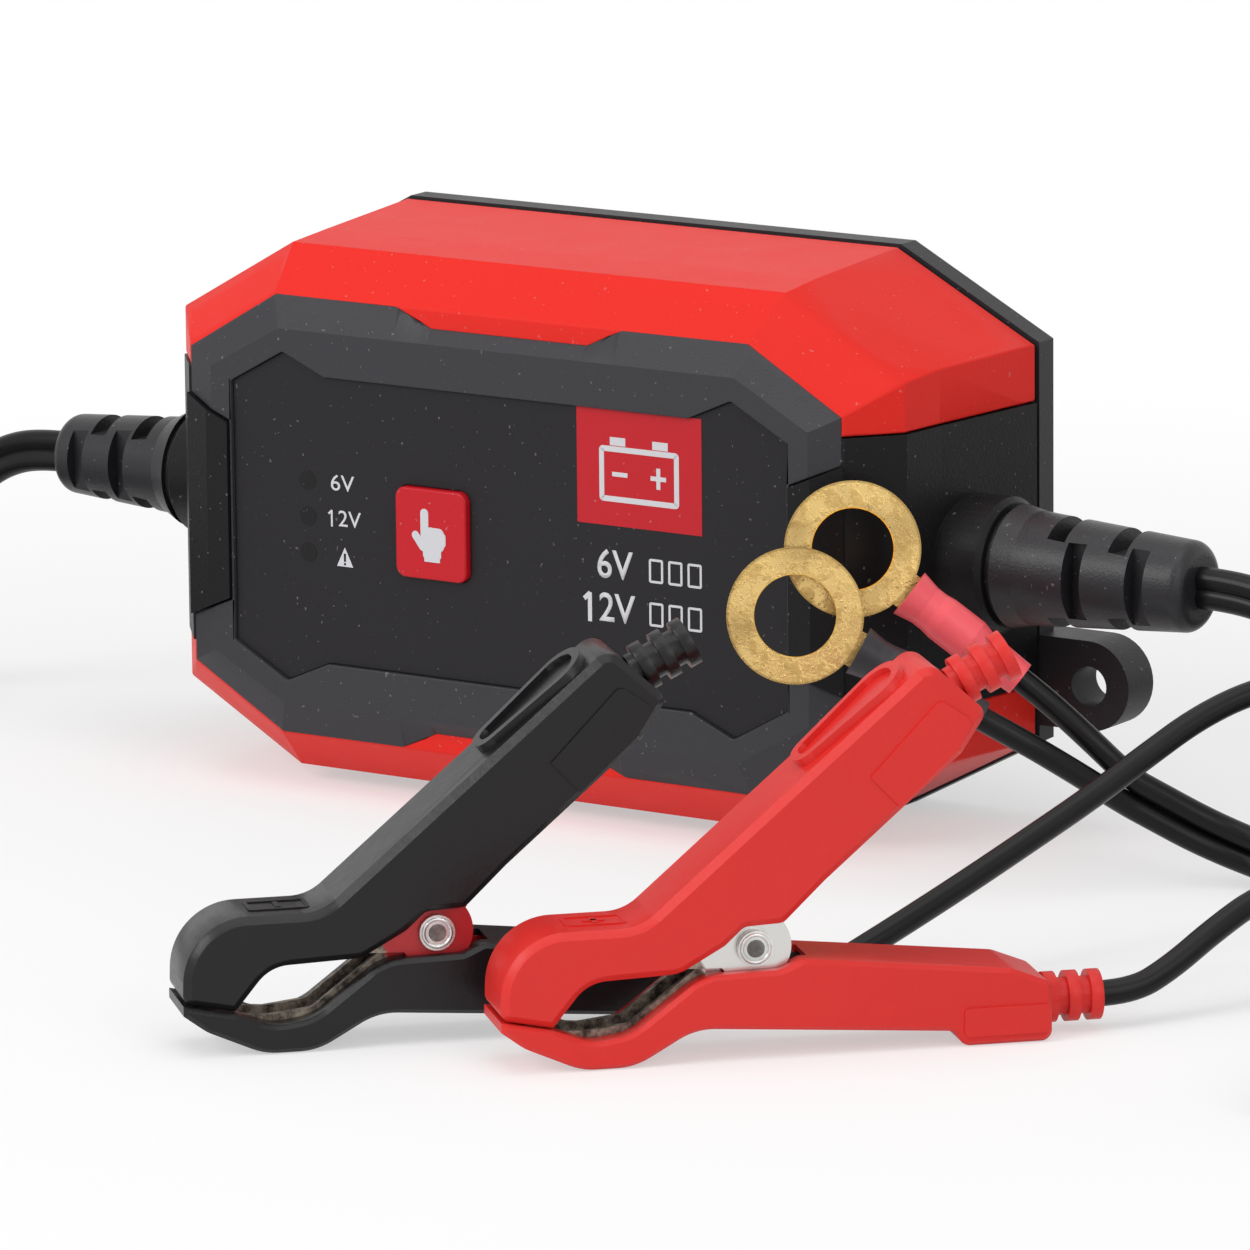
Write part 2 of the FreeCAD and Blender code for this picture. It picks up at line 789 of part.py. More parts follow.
def build_front_bezel():
    """Black front plate with a bevelled band, a locating rim and posts for the board."""
    bezel = Piece("front_bezel")
    bezel.loft(("0", bezel_outline()), ("-bezel_rise", bezel_face()))
    plug = "rim_wall + fit_gap"
    bezel.pad("XZ", "0", "plug_depth", front_section(plug))
    bezel.pocket("XZ", "bezel_back", "plug_depth", front_section(plug + " + plug_wall"))
    bezel.pad("XZ", "0", "board_front", *post_circles("post_radius"))
    bezel.pocket("XZ", "board_back - board_screw_length - part_gap", "board_screw_length",
                 *post_circles("board_screw_radius + press_gap"))
    bezel.pocket("XZ", "-bezel_rise - overcut", "overcut + label_recess", label_outline("0"))
    bezel.pocket("XZ", "-bezel_rise - overcut", "board_front", button_outline("fit_gap"))
    bezel.pocket("XZ", "-bezel_rise - overcut", "board_front", *led_circles("led_radius + fit_gap"))
    for side in ("", "-"):
        bezel.pocket("XZ", "-bezel_rise - overcut", "plug_depth * 2 + bezel_rise",
            tab_outline(side, "fit_gap"))
    place(bezel.body, "case")


def build_front_label():
    """Thin printed label that lies in the bezel's recess."""
    label = Piece("front_label")
    label.pad("XZ", "-bezel_rise + label_recess - label_thick", "label_thick", label_outline("-fit_gap"))
    label.pocket("XZ", "-bezel_rise - overcut", "board_front", button_outline("fit_gap"))
    label.pocket("XZ", "-bezel_rise - overcut", "board_front", *led_circles("led_radius + fit_gap"))
    place(label.body, "case")


def build_mode_button():
    """Push button with a retaining flange behind the bezel and a stem for the switch."""
    button = Piece("mode_button")
    face = "(-bezel_rise - button_proud)"
    flange = "(bezel_back + fit_gap)"
    button.pad("XZ", face, f"{flange} - {face}", button_outline("0"))
    button.pad("XZ", flange, "flange_thick", button_outline("button_flange"))
    stem = "board_front - switch_high - plunger_depth + button_travel"
    button.pad("XZ", f"{flange} + flange_thick", f"{stem} - {flange} - flange_thick",
        Circle("button_x", "0", "stem_radius"))
    button.round_edges("button_edge", lambda edge: on_front(edge, face))
    place(button.body, "case")


def on_front(edge, level):
    """True where the whole edge lies at one depth."""
    box = edge.BoundBox
    target = number(level)
    return abs(box.YMin - target) < 0.01 and abs(box.YMax - target) < 0.01


def build_button_switch():
    """Small push switch on the board, bored for its plunger."""
    switch = Piece("button_switch")
    half = "switch_side / 2"
    top = "board_front - switch_high"
    switch.pad("XZ", top, "switch_high",
        rectangle(f"button_x - {half}", f"-{half}", f"button_x + {half}", half))
    hole = Circle("button_x", "0", "plunger_radius + press_gap")
    switch.pocket("XZ", f"{top} - overcut", "plunger_depth + overcut + part_gap", hole)
    place(switch.body, "case")
    plunger = Piece("switch_plunger")
    start = "board_front - switch_high - plunger_depth + button_travel"
    plunger.pad("XZ", start, "2 * (plunger_depth - button_travel)",
        Circle("button_x", "0", "plunger_radius"))
    place(plunger.body, "case")


def build_indicator_lights():
    """Three lights that stand on the board and reach into the label's windows."""
    leds = Piece("indicator_lights")
    leds.pad("XZ", "board_front - led_base_high", "led_base_high", *led_circles("led_base_radius"))
    front = "-bezel_rise + label_recess - label_thick + fit_gap"
    leds.pad("XZ", front, f"board_front - led_base_high - ({front})", *led_circles("led_radius"))
    place(leds.body, "case")


def build_end_plate(side, name):
    """Black end plate that follows the shell's flank and laps onto the bezel."""
    plate = Piece(name)
    outer = [
        ("front_width / 2", "0"), ("brow_width / 2", "brow_depth"),
        ("shoulder_width / 2", "shoulder_depth"), ("case_width / 2", "shell_depth")]
    inner = [
        ("case_width / 2 - end_lip + fit_gap", "shell_depth"),
        ("case_width / 2 - end_lip + fit_gap", "shell_depth - rear_ring - fit_gap"),
        ("case_width / 2 - wall - end_lip / 4", "shell_depth - rear_ring - fit_gap"),
        ("shoulder_width / 2 - wall", "shoulder_depth"),
        ("brow_width / 2 - wall", "brow_depth + 0.8"), ("front_width / 2 - tab_seat", "0")]
    flank = [(f"{side}({x} + end_proud)", y) for x, y in outer] + [(f"{side}({x})", y) for x, y in inner]
    plate.even_pad("XY", "end_half_high", Outline(*flank))
    plate.pad("XZ", "-tab_rise", "tab_rise", tab_outline(side, "0"))
    ramp = [
        (f"{side}(front_width / 2 - bezel_band)", "-tab_rise - 0.2"),
        (f"{side}(front_width / 2 + end_proud + 0.2)", "-tab_rise + bezel_rise"),
        (f"{side}(front_width / 2 + end_proud + 0.2)", "-tab_rise - 0.2")]
    plate.even_pocket("XY", "end_half_high", Outline(*ramp))
    boss_start = "gland_rim - wall" if side == "" else "-(gland_rim + gland_boss_long)"
    boss_long = "wall + gland_boss_long"
    plate.pad("YZ", boss_start, boss_long, Circle("gland_y", "0", "gland_boss_radius"))
    plate.bevel_edges("gland_boss_bevel",
        lambda edge: across_x(edge, f"{side}(gland_rim + gland_boss_long)"))
    plate.pocket("YZ", f"{boss_start} - relief_seat", f"{boss_long} + 2 * relief_seat",
                 Circle("gland_y", "0", "gland_bore + fit_gap"))
    place(plate.body, "case")


def across_x(edge, level):
    """True where the whole edge lies at one distance along X."""
    box = edge.BoundBox
    target = number(level)
    return abs(box.XMin - target) < 0.01 and abs(box.XMax - target) < 0.01


def build_back_cover():
    """Shallow tray that closes the back, with a screw ear low on each side."""
    front = "(shell_depth + seal_thick)"
    back = "(shell_depth + seal_thick + cover_depth)"
    cover = Piece("back_cover")
    cover.loft(
        (front, rear_section("-end_proud")),
        (f"{front} + cover_edge", rear_section("-end_proud")),
        (back, rear_section("cover_taper")))
    for side in ("", "-"):
        ear_x = f"{side}(case_width / 2 + ear_reach)"
        cover.pad("XZ", front, "cover_depth", Circle(ear_x, "-ear_drop", "ear_radius"))
        cover.pad("XZ", front, "cover_depth", rectangle(
            f"{side}(case_width / 2 - wall)", "-ear_drop - ear_radius", ear_x, "-ear_drop + ear_radius"))
        cover.pocket("XZ", f"{front} - overcut", "cover_depth + 2 * overcut",
            Circle(ear_x, "-ear_drop", "ear_hole_radius"))
    cover.pocket("XZ", f"{front} - overcut", "overcut + cover_depth - cover_floor", rear_section("wall"))
    cover.pad("XZ", front, "cover_depth - cover_floor", *screw_corners("boss_radius"))
    cover.pocket("XZ", f"{front} - overcut", "cover_depth + 2 * overcut",
        *screw_corners("screw_clear_radius"))
    cover.pocket("XZ", f"{back} - screw_sink", "screw_sink + overcut",
        *screw_corners("screw_head_radius + fit_gap"))
    place(cover.body, "case")


def build_case_seal():
    """Flat rubber ring between the shell's rear rim and the back cover."""
    seal = Piece("case_seal")
    seal.pad("XZ", "shell_depth", "seal_thick", rear_section("seal_inset"))
    seal.pocket("XZ", "shell_depth - overcut", "seal_thick + 2 * overcut",
        rear_section("seal_inset + seal_wide"))
    place(seal.body, "case")


def build_case_screws():
    """Four screws through the back cover into the shell's bosses."""
    screws = Piece("case_screws")
    head = "(shell_depth + seal_thick + cover_depth - screw_sink)"
    screws.pad("XZ", "shell_depth - screw_length + part_gap",
        f"{head} - shell_depth + screw_length - part_gap",
               *screw_corners("screw_radius"))
    screws.pad("XZ", head, "screw_head_thick", *screw_corners("screw_head_radius"))
    slots = []
    for x in ("", "-"):
        for z in ("", "-"):
            slots.append(rectangle(
                f"{x}screw_x - slot_reach", f"{z}screw_z - slot_half",
                f"{x}screw_x + slot_reach", f"{z}screw_z + slot_half"))
    screws.pocket("XZ", f"{head} + screw_head_thick / 2", "screw_head_thick", *slots)
    place(screws.body, "case")


# Circuit board and the parts it carries

def post_circles(radius):
    return [Circle(x + "post_x", z + "post_z", radius) for x in ("", "-") for z in ("", "-")]


def build_circuit_board():
    board = Piece("circuit_board")
    board.pad("XZ", "board_front", "board_thick",
              octagon("board_wide", "board_high", "board_cut", "board_cut"))
    board.pocket("XZ", "board_front - overcut", "board_thick + 2 * overcut",
        *post_circles("board_hole_radius"))
    place(board.body, "case")


def build_board_screws():
    screws = Piece("board_screws")
    screws.pad("XZ", "board_back - board_screw_length", "board_screw_length",
        *post_circles("board_screw_radius"))
    screws.pad("XZ", "board_back", "board_head_thick", *post_circles("board_head_radius"))
    place(screws.body, "case")


def build_transformer():
    """Ferrite core with two windows, and the winding that fills them."""
    core = Piece("transformer_core")
    low = "core_x - core_wide / 2"
    high = "core_x + core_wide / 2"
    core.pad("XZ", "board_back", "core_tall", rectangle(low, "-core_high / 2", high, "core_high / 2"))
    window = "core_high / 2 - core_limb"
    inner = "core_limb / 2 + winding_gap"
    for side in ("", "-"):
        near = f"core_x + {side}({inner})"
        far = f"core_x + {side}(core_wide / 2 - core_limb / 2)"
        core.pocket("XZ", "board_front", "core_tall + board_front",
            rectangle(near, f"-({window})", far, window))
    place(core.body, "case")
    winding = Piece("transformer_winding")
    gap = "winding_gap"
    for side in ("", "-"):
        near = f"core_x + {side}({inner} + {gap})"
        far = f"core_x + {side}(core_wide / 2 - core_limb / 2 - {gap})"
        winding.pad("XZ", "board_back", "core_tall - winding_low",
            rectangle(near, f"-({window} - {gap})", far, f"{window} - {gap}"))
    place(winding.body, "case")


def build_can(label, key):
    """A round capacitor that stands on the back of the board."""
    can = Piece(label)
    can.pad("XZ", "board_back", key + "_tall", Circle(key + "_x", key + "_z", key + "_radius"))
    can.round_edges("can_edge", lambda edge: on_front(edge, f"board_back + {key}_tall"))
    place(can.body, "case")


def build_heat_sink():
    """Finned plate that stands on the board, with the power transistor against it."""
    sink = Piece("heat_sink")
    low = "(sink_x - sink_wide / 2)"
    shapes = [rectangle(low, "0", "sink_x + sink_wide / 2", "sink_plate")]
    sink.pad("XZ", "board_back", "sink_tall", *shapes)
    fins = int(number("sink_fins"))
    for index in range(fins):
        left = f"({low} + {index} * (sink_wide - sink_fin_thick) / {fins - 1})"
        sink.pad("XZ", "board_back", "sink_tall", rectangle(
            left, "sink_plate / 2", f"{left} + sink_fin_thick", "sink_plate + sink_fin"))
    place(sink.body, "case")
    transistor = Piece("power_transistor")
    half = "transistor_wide / 2"
    transistor.pad("XZ", "board_back + transistor_lift", "transistor_tall", rectangle(
        f"sink_x - {half}", "-transistor_thick", f"sink_x + {half}", "0"))
    legs = [rectangle(
        f"sink_x + {step} * leg_pitch - leg_wide / 2", "-transistor_thick / 2 - leg_thick / 2",
        f"sink_x + {step} * leg_pitch + leg_wide / 2", "-transistor_thick / 2 + leg_thick / 2")
        for step in (-1, 0, 1)]
    transistor.pad("XZ", "board_back", "transistor_lift", *legs)
    place(transistor.body, "case")


def build_fuse():
    """Glass fuse lying on the board between two clips."""
    fuse = Piece("input_fuse")
    centre = "(board_back + fuse_radius + fuse_lift)"
    fuse.pad("YZ", "fuse_x - fuse_length / 2", "fuse_length", Circle(centre, "fuse_z", "fuse_radius"))
    for clip_x in ("fuse_x - fuse_length / 2 + clip_in", "fuse_x + fuse_length / 2 - clip_in - clip_long"):
        fuse.pad("YZ", clip_x, "clip_long", rectangle(
            "board_back", "fuse_z - fuse_radius", centre, "fuse_z + fuse_radius"))
    place(fuse.body, "case")


def build_choke():
    choke = Piece("output_choke")
    choke.pad("XZ", "board_back", "choke_high", Circle("choke_x", "choke_z", "choke_radius"))
    choke.pocket("XZ", "board_front", "choke_high + board_front",
        Circle("choke_x", "choke_z", "choke_bore"))
    choke.round_edges("choke_edge", lambda edge: on_front(edge, "board_back + choke_high"))
    place(choke.body, "case")


def build_chip():
    chip = Piece("controller_chip")
    chip.pad("XZ", "board_front - chip_thick", "chip_thick", rectangle(
        "chip_x - chip_wide / 2", "chip_z - chip_high / 2", "chip_x + chip_wide / 2",
        "chip_z + chip_high / 2"))
    place(chip.body, "case")


# Strain reliefs

def build_relief(label, side, key):
    """Slotted rubber strain relief that grips the end plate and tapers to the lead."""
    root = key + "_relief_root"
    tip = key + "_relief_tip"
    boss_end = "(gland_rim + gland_boss_long)"
    head_start = f"({boss_end} + relief_groove)"
    head_end = f"({head_start} + relief_head_long)"
    end = f"(gland_rim + {key}_relief_length)"
    seat = "(gland_rim - relief_seat)"
    profile = [
        (f"({seat} - collar_thick)", "0"), (f"({seat} - collar_thick)", "collar_radius"),
        (seat, "collar_radius"), (seat, "gland_bore"),
        (boss_end, "gland_bore"), (boss_end, "relief_groove_radius"), (head_start, "relief_groove_radius"),
        (head_start, "relief_head_radius"), (head_end, root), (end, tip, "relief_round"), (end, "0")]
    relief = Piece(label)
    relief.turn("XZ", "X", Outline(*[(side + corner[0],) + corner[1:] for corner in profile]))
    reach = "relief_head_radius"
    for index in range(4):
        near = (f"(gland_rim + {key}_slot_first + {index // 2} * {key}_slot_pitch"
                f" + {index % 2} * relief_slot_step)")
        far = f"({near} + relief_slot)"
        low, high = (near, far) if side == "" else (f"-{far}", f"-{near}")
        boxes = [rectangle(low, "relief_core_radius", high, reach),
                 rectangle(low, f"-({reach})", high, "-relief_core_radius")]
        relief.even_pocket("XZ" if index % 2 == 0 else "XY", "relief_slot_half", *boxes)
    place(relief.body, "gland")


# Leads: each is one tube along straight runs joined by arcs

def vector(point):
    return Vector(*point)


def round_section(width, thick):
    """Two arcs of a round lead, in the section's own plane."""
    radius = width / 2
    return [((radius, 0), (0, radius), (-radius, 0)), ((-radius, 0), (0, -radius), (radius, 0))]


def flat_section(width, thick):
    """A flat lead with half round edges; its width runs along the first axis."""
    flank, radius = (width - thick) / 2, thick / 2
    return [
        ((flank, -radius), (flank + radius, 0), (flank, radius)), ((flank, radius), (-flank, radius)),
        ((-flank, radius), (-flank - radius, 0), (-flank, -radius)), ((-flank, -radius), (flank, -radius))]


def twin_section(width, thick):
    """Two round cores side by side, joined by a narrow web."""
    centre, radius = (width - thick) / 2, thick / 2
    waist = radius * 0.45
    edge = centre - math.sqrt(radius ** 2 - waist ** 2)
    return [
        ((edge, -waist), (centre + radius, 0), (edge, waist)), ((edge, waist), (-edge, waist)),
        ((-edge, waist), (-centre - radius, 0), (-edge, -waist)), ((-edge, -waist), (edge, -waist))]


def section_wire(section, start, direction, wide):
    """Places a section square to the lead's direction, its width along the given way."""
    wide = (wide - direction * wide.dot(direction)).normalize()
    across = direction.cross(wide)
    edges = []
    for span in section:
        points = [start + wide * x + across * y for x, y in span]
        edges.append(Part.Arc(*points).toShape()
            if len(points) == 3 else Part.LineSegment(*points).toShape())
    return Part.Wire(edges)


def route_edges(points):
    """Straight runs joined by tangent arcs, as round as the shorter run beside each bend allows."""
    corners = [vector(point) for point in points]
    edges = []
    radii = []
    start = corners[0]
    for index in range(1, len(corners) - 1):
        before = corners[index] - corners[index - 1]
        after = corners[index + 1] - corners[index]
        reach = 0.45 * min(before.Length, after.Length)
        before.normalize()
        after.normalize()
        turn = before.getAngle(after)
        radius = reach / math.tan(turn / 2)
        radii.append(radius)
        enter = corners[index] - before * reach
        leave = corners[index] + after * reach
        inward = (after - before).normalize()
        middle = corners[index] + inward * (radius / math.cos(turn / 2) - radius)
        edges.append(Part.LineSegment(start, enter).toShape())
        edges.append(Part.Arc(enter, middle, leave).toShape())
        start = leave
    edges.append(Part.LineSegment(start, corners[-1]).toShape())
    return edges, min(radii)


def sweep(label, edges, section, wide, frame="case", note=""):
    """One solid tube along the edges, listed as a sub-part."""
    path = Part.Wire(edges)
    first = edges[0]
    start = first.Vertexes[0].Point
    direction = first.tangentAt(first.FirstParameter)
    outline = section_wire(section, start, direction, wide)
    shell = Part.BRepOffsetAPI.MakePipeShell(path)
    shell.add(outline)
    shell.build()
    shell.makeSolid()
    solid = shell.shape()
    if solid.Volume < 0:
        solid.reverse()
    item = doc.addObject("Part::Feature", label)
    item.Label = label
    item.Shape = solid
    place(item, frame)
    area = Part.Face(outline).Area
    print(label, "length", round(path.Length, 1), "volume / section",
        round(solid.Volume / area / path.Length, 3), note)
    return item


def free_lead(label, points, section, wide=(0, 0, 1)):
    edges, radius = route_edges(points)
    return sweep(label, edges, section, vector(wide), note=f"least radius {radius:.1f}")


def arc_through(start, direction, end):
    """An arc from a point with a direction to another point, or a line where it is straight."""
    chord = end - start
    length = chord.Length
    along = chord.dot(direction)
    off = chord - direction * along
    if off.Length < 1e-6:
        return Part.LineSegment(start, end).toShape()
    off.normalize()
    half = math.atan2(chord.dot(off), along)
    radius = length / (2 * math.sin(half))
    centre = start + off * radius
    middle = (start + end) * 0.5
    outward = (middle - centre).normalize()
    return Part.Arc(start, centre + outward * radius, end).toShape()


def two_arcs(start, start_way, end, end_way):
    """Two tangent arcs between two points with given directions."""
    chord = end - start
    sum_way = start_way + end_way
    gap = 2 * (1 - start_way.dot(end_way))
    push = chord.dot(sum_way)
    square = chord.dot(chord)
    reach = (math.sqrt(push ** 2 + gap * square) - push) / gap
    near = start + start_way * reach
    far = end - end_way * reach
    meet = (near + far) * 0.5
    first = arc_through(start, start_way, meet)
    second = arc_through(meet, (far - near).normalize(), end)
    return [first, second]


def coil_edges(centre, entry_angle, turns, outer, pitch, levels, run_out, lift=0.0):
    """A coil in two layers: in along the first level, out again along the second.

    The layer changes in the half turn round the middle. The lead leaves in a straight run;
    with a lift, its last quarter turn climbs and it first bends in over the coil.
    """
    count = 2 * round(turns * 2)
    step = turns * 2 * math.pi / count
    rate = pitch / (2 * math.pi)
    nodes = []
    for index in range(count + 1):
        angle = entry_angle + index * step
        radius = outer - pitch * turns / 2 + rate * step * abs(index - count / 2)
        slope = rate if index > count / 2 else -rate
        level = levels[0] if index < count / 2 else levels[1]
        climb = 0.0
        if index in (0, count):
            slope = 0.0
        if index == count / 2:
            slope = 0.0
            level = (levels[0] + levels[1]) / 2
            climb = 1.5 * (levels[1] - levels[0]) / (2 * step)
        if index == count:
            level += lift
        out = Vector(math.cos(angle), math.sin(angle), 0)
        along = Vector(-math.sin(angle), math.cos(angle), 0)
        way = (along * radius + out * slope + Vector(0, 0, climb)).normalize()
        nodes.append((centre + out * radius + Vector(0, 0, level), way))
    if lift:
        last, along = nodes[-1]
        inner = outer / 2
        rise = number("plug_thick / 2 + mains_wide / 2 + plug_gap") - lift
        out = Vector(along.y, -along.x, 0)
        for turn, share in ((math.pi / 4, 0.5), (math.pi / 2, 1.0)):
            lift = Vector(0, 0, rise * share)
            spot = last - out * inner * (1 - math.cos(turn)) + along * inner * math.sin(turn) + lift
            way = along * math.cos(turn) - out * math.sin(turn)
            if share < 1:
                way = (way + Vector(0, 0, 1.5 * rise / (inner * math.pi / 2))).normalize()
            nodes.append((spot, way))
    begin = nodes[0][0] - nodes[0][1] * number("coil_stub")
    edges = [Part.LineSegment(begin, nodes[0][0]).toShape()]
    for (start, start_way), (end, end_way) in zip(nodes, nodes[1:]):
        edges += two_arcs(start, start_way, end, end_way)
    last, way = nodes[-1]
    edges.append(Part.LineSegment(last, last + way * run_out).toShape())
    return edges, begin, nodes[0][1], last + way * run_out, way


def floor_level():
    return -number("case_height / 2 + end_proud")


def build_mains_lead():
    """Flat mains lead: its free stretch, the put-away coil and the plug."""
    section = flat_section(number("mains_wide"), number("mains_thick"))
    low = floor_level() + number("mains_wide / 2 + floor_gap")
    high = low + number("mains_wide + coil_gap")
    pitch = number("mains_thick + coil_gap")
    turns = number("mains_coil_turns")
    outer = number("coil_middle_radius") + pitch * turns / 4
    heading = math.radians(number("mains_coil_heading"))
    centre = Vector(number("mains_coil_x"), number("mains_coil_y"), 0)
    edges, begin, way, end, end_way = coil_edges(
        centre, heading - math.pi / 2, turns, outer, pitch, (low, high), number("coil_stub"),
        number("mains_wide + coil_gap"))
    sweep("mains_cord_coil", edges, section, Vector(0, 0, 1))
    near = begin - way * 7.5
    start = number("gland_rim + mains_relief_length")
    gland = number("gland_y")
    points = [
        (start, gland, 0), (start + 6, gland, 0), (start + 12.8, gland, -1.8), (start + 19.4, gland, -5.6),
        (start + 25, gland + 0.1, -11.4), (start + 29.8, gland + 0.3, -18.2),
        (start + 35, gland + 0.8, -24.8),
        (start + 41.2, gland + 2, -30.2), (start + 48.5, gland + 4.4, -33.7), tuple(near), tuple(begin)]
    free_lead("mains_cord", points, section)
    return end, end_way


def build_output_lead():
    """Two core output lead: its free stretch and the put-away coil."""
    section = twin_section(number("output_wide"), number("output_thick"))
    low = floor_level() + number("link_thick / 2")
    high = low + number("output_wide + coil_gap")
    pitch = number("output_thick + coil_gap")
    turns = number("output_coil_turns")
    outer = number("coil_middle_radius") + pitch * turns / 4
    centre = Vector(number("output_coil_x"), number("gland_y") - outer, 0)
    edges, begin, way, end, end_way = coil_edges(
        centre, math.pi / 2, turns, outer, pitch, (high, low), number("output_run_out"))
    sweep("output_cord_coil", edges, section, Vector(0, 0, 1))
    start = -number("gland_rim + output_relief_length")
    gland = number("gland_y")
    points = [
        (start, gland, 0), (start - 5.5, gland, 0), (start - 11.3, gland, -1.4),
        (start - 16.5, gland, -4.6),
        (start - 20.5, gland, -9.2), (start - 23.3, gland, -14.6), (start - 26.5, gland, -19.8),
        (start - 30.7, gland, -24.2), (start - 36, gland, -27), tuple(begin - way * 5), tuple(begin)]
    free_lead("output_cord", points, section)
    return end, end_way


def joined_ends(join, heading_point, half):
    """Where the two single leads meet the twin lead, one above the other."""
    direction = (vector(heading_point) - vector(join)).normalize()
    up = Vector(0, 0, 1)
    wide = (up - direction * up.dot(direction)).normalize()
    return vector(join) + wide * half, vector(join) - wide * half, direction


def build_clamp_leads():
    """Single leads of both clamps, joined into a twin lead that ends in a connector."""
    width = number("core_lead")
    single = round_section(width, width)
    twin = twin_section(2 * width, width)
    level = floor_level() + number("link_thick / 2")
    join = (154.5, -39, level)
    twin_points = [join, (157.7, -45.9, level), (160.1, -53, level), (161.7, -59.5, level)]
    upper, lower, way = joined_ends(join, twin_points[1], width / 2)
    free_lead("clamp_twin_lead", twin_points, twin)
    black_start = clamp_lead_start("black")
    red_start = clamp_lead_start("red")
    reach = clamp_way()
    black_points = [
        tuple(black_start), tuple(black_start + reach * 5), (92, -54.2, -29.9), (95.6, -42.6, -25.8),
        (99.3, -32.6, -21.6), (102.9, -23.4, -17.5), (106.1, -15.6, -13.4), (109.1, -8.6, -9.8),
        (112.8, -1.8, -7.3), (117.4, 4.4, -6.3), (124, 8.6, -8), (132, 8.6, -11.8), (139.5, 4.8, -17.4),
        (146, -2, -23.6), (150.4, -10.4, -29.2), (152.2, -19.8, -33.6), tuple(lower - way * 9.4),
        tuple(lower)]
    free_lead("black_clamp_lead", black_points, single)
    red_points = [
        tuple(red_start), tuple(red_start + reach * 4.4), (127, -45.8, -31.6), (129.5, -39.6, -27.9),
        (131.9, -33, -24.9), (135.6, -27.4, -23.6), (141.2, -24.5, -24.4), (146.9, -25.3, -27.4),
        (150.9, -29.6, -30.9), tuple(upper - way * 5.6), tuple(upper)]
    free_lead("red_clamp_lead", red_points, single)
    end = vector(twin_points[-1])
    return end, (end - vector(twin_points[-2])).normalize()


def clamp_way():
    angle = math.radians(number("clamp_turn"))
    return Vector(math.cos(angle), math.sin(angle), 0)


def clamp_lead_start(colour):
    """The end of the lower arm's boot."""
    pivot = Vector(number(colour + "_pivot_x"), number(colour + "_pivot_y"), 0)
    boot = pivot + clamp_way() * number("grip_reach + boot_long")
    boot.z = floor_level() + number("belly_drop - lower_boot_drop")
    return boot


def ring_way(colour):
    """Where a ring terminal's sleeve ends, and which way it points."""
    turn = ring_rotation(colour + "_ring_slope")
    centre = Vector(*[number(f"{colour}_ring_{axis}") for axis in "xyz"])
    way = turn.multVec(Vector(1, 0, 0))
    return centre + way * number("sleeve_start + sleeve_length"), way


def build_ring_leads():
    """Single leads of both ring terminals, joined into a twin lead with a connector."""
    width = number("core_lead")
    single = round_section(width, width)
    twin = twin_section(2 * width, width)
    level = floor_level() + number("link_thick / 2")
    join = (90.5, 12, -27)
    twin_points = [
        join, (95.4, 15.8, -30.6), (100.9, 18.4, -33.2), (107.4, 18.2, level), (114.4, 16.2, level),
        (121, 14, level), (127.6, 12.4, level)]
    upper, lower, way = joined_ends(join, twin_points[1], width / 2)
    free_lead("ring_twin_lead", twin_points, twin)
    red_end, red_way = ring_way("red")
    black_end, black_way = ring_way("black")
    free_lead("red_ring_lead", [
        tuple(red_end), tuple(red_end + red_way * 4.4), (83.6, 8.2, -18.6), tuple(upper - way * 4.2),
        tuple(upper)], single)
    free_lead("black_ring_lead", [
        tuple(black_end), tuple(black_end + black_way * 4.6), (80.6, 2.2, -19.8), (85.2, 6.6, -24),
        tuple(lower - way * 2.6), tuple(lower)], single)
    end = vector(twin_points[-1])
    return end, (end - vector(twin_points[-2])).normalize()


# Plug and connectors at the far ends of the leads

def lay(body, end, way):
    """Sets a piece so that its own X axis starts at a lead's end and follows it."""
    case = Vector(number("shift_x"), number("shift_y"), -floor_level())
    turn = Rotation(Vector(0, 0, 1), math.degrees(math.atan2(way.y, way.x)))
    body.Placement = Placement(end + case, turn)
    pieces.append(body)


def build_mains_plug(end, way):
    """Flat plug with two round pins."""
    plug = Piece("mains_plug")
    half_tail, half_wide, half_nose = "plug_tail_wide / 2", "plug_wide / 2", "plug_nose_wide / 2"
    plug.even_pad("XY", "plug_thick / 2", Outline(
        ("0", f"-{half_tail}", "2"), ("plug_tail_long", f"-({half_wide})", "4"),
        ("plug_length", f"-({half_nose})", "2"),
        ("plug_length", half_nose, "2"), ("plug_tail_long", half_wide, "4"), ("0", half_tail, "2")))
    plug.bevel_edges("plug_bevel", lambda edge: flat_rim(edge, "plug_thick / 2"))
    pins = [Circle(side + "pin_pitch / 2", "0", "pin_radius + press_gap") for side in ("", "-")]
    plug.pocket("YZ", "plug_length - pin_root", "pin_root + overcut", *pins)
    lay(plug.body, end, way)
    metal = Piece("plug_pins")
    circles = [Circle(side + "pin_pitch / 2", "0", "pin_radius") for side in ("", "-")]
    metal.pad("YZ", "plug_length - pin_root", "pin_root + pin_length", *circles)
    metal.bevel_edges("pin_bevel", lambda edge: across_x(edge, "plug_length + pin_length"))
    lay(metal.body, end, way)


def flat_rim(edge, level):
    """True where the whole edge lies at one height above or below the middle."""
    box = edge.BoundBox
    return box.ZLength < 0.01 and abs(abs(box.ZMin) - number(level)) < 0.01


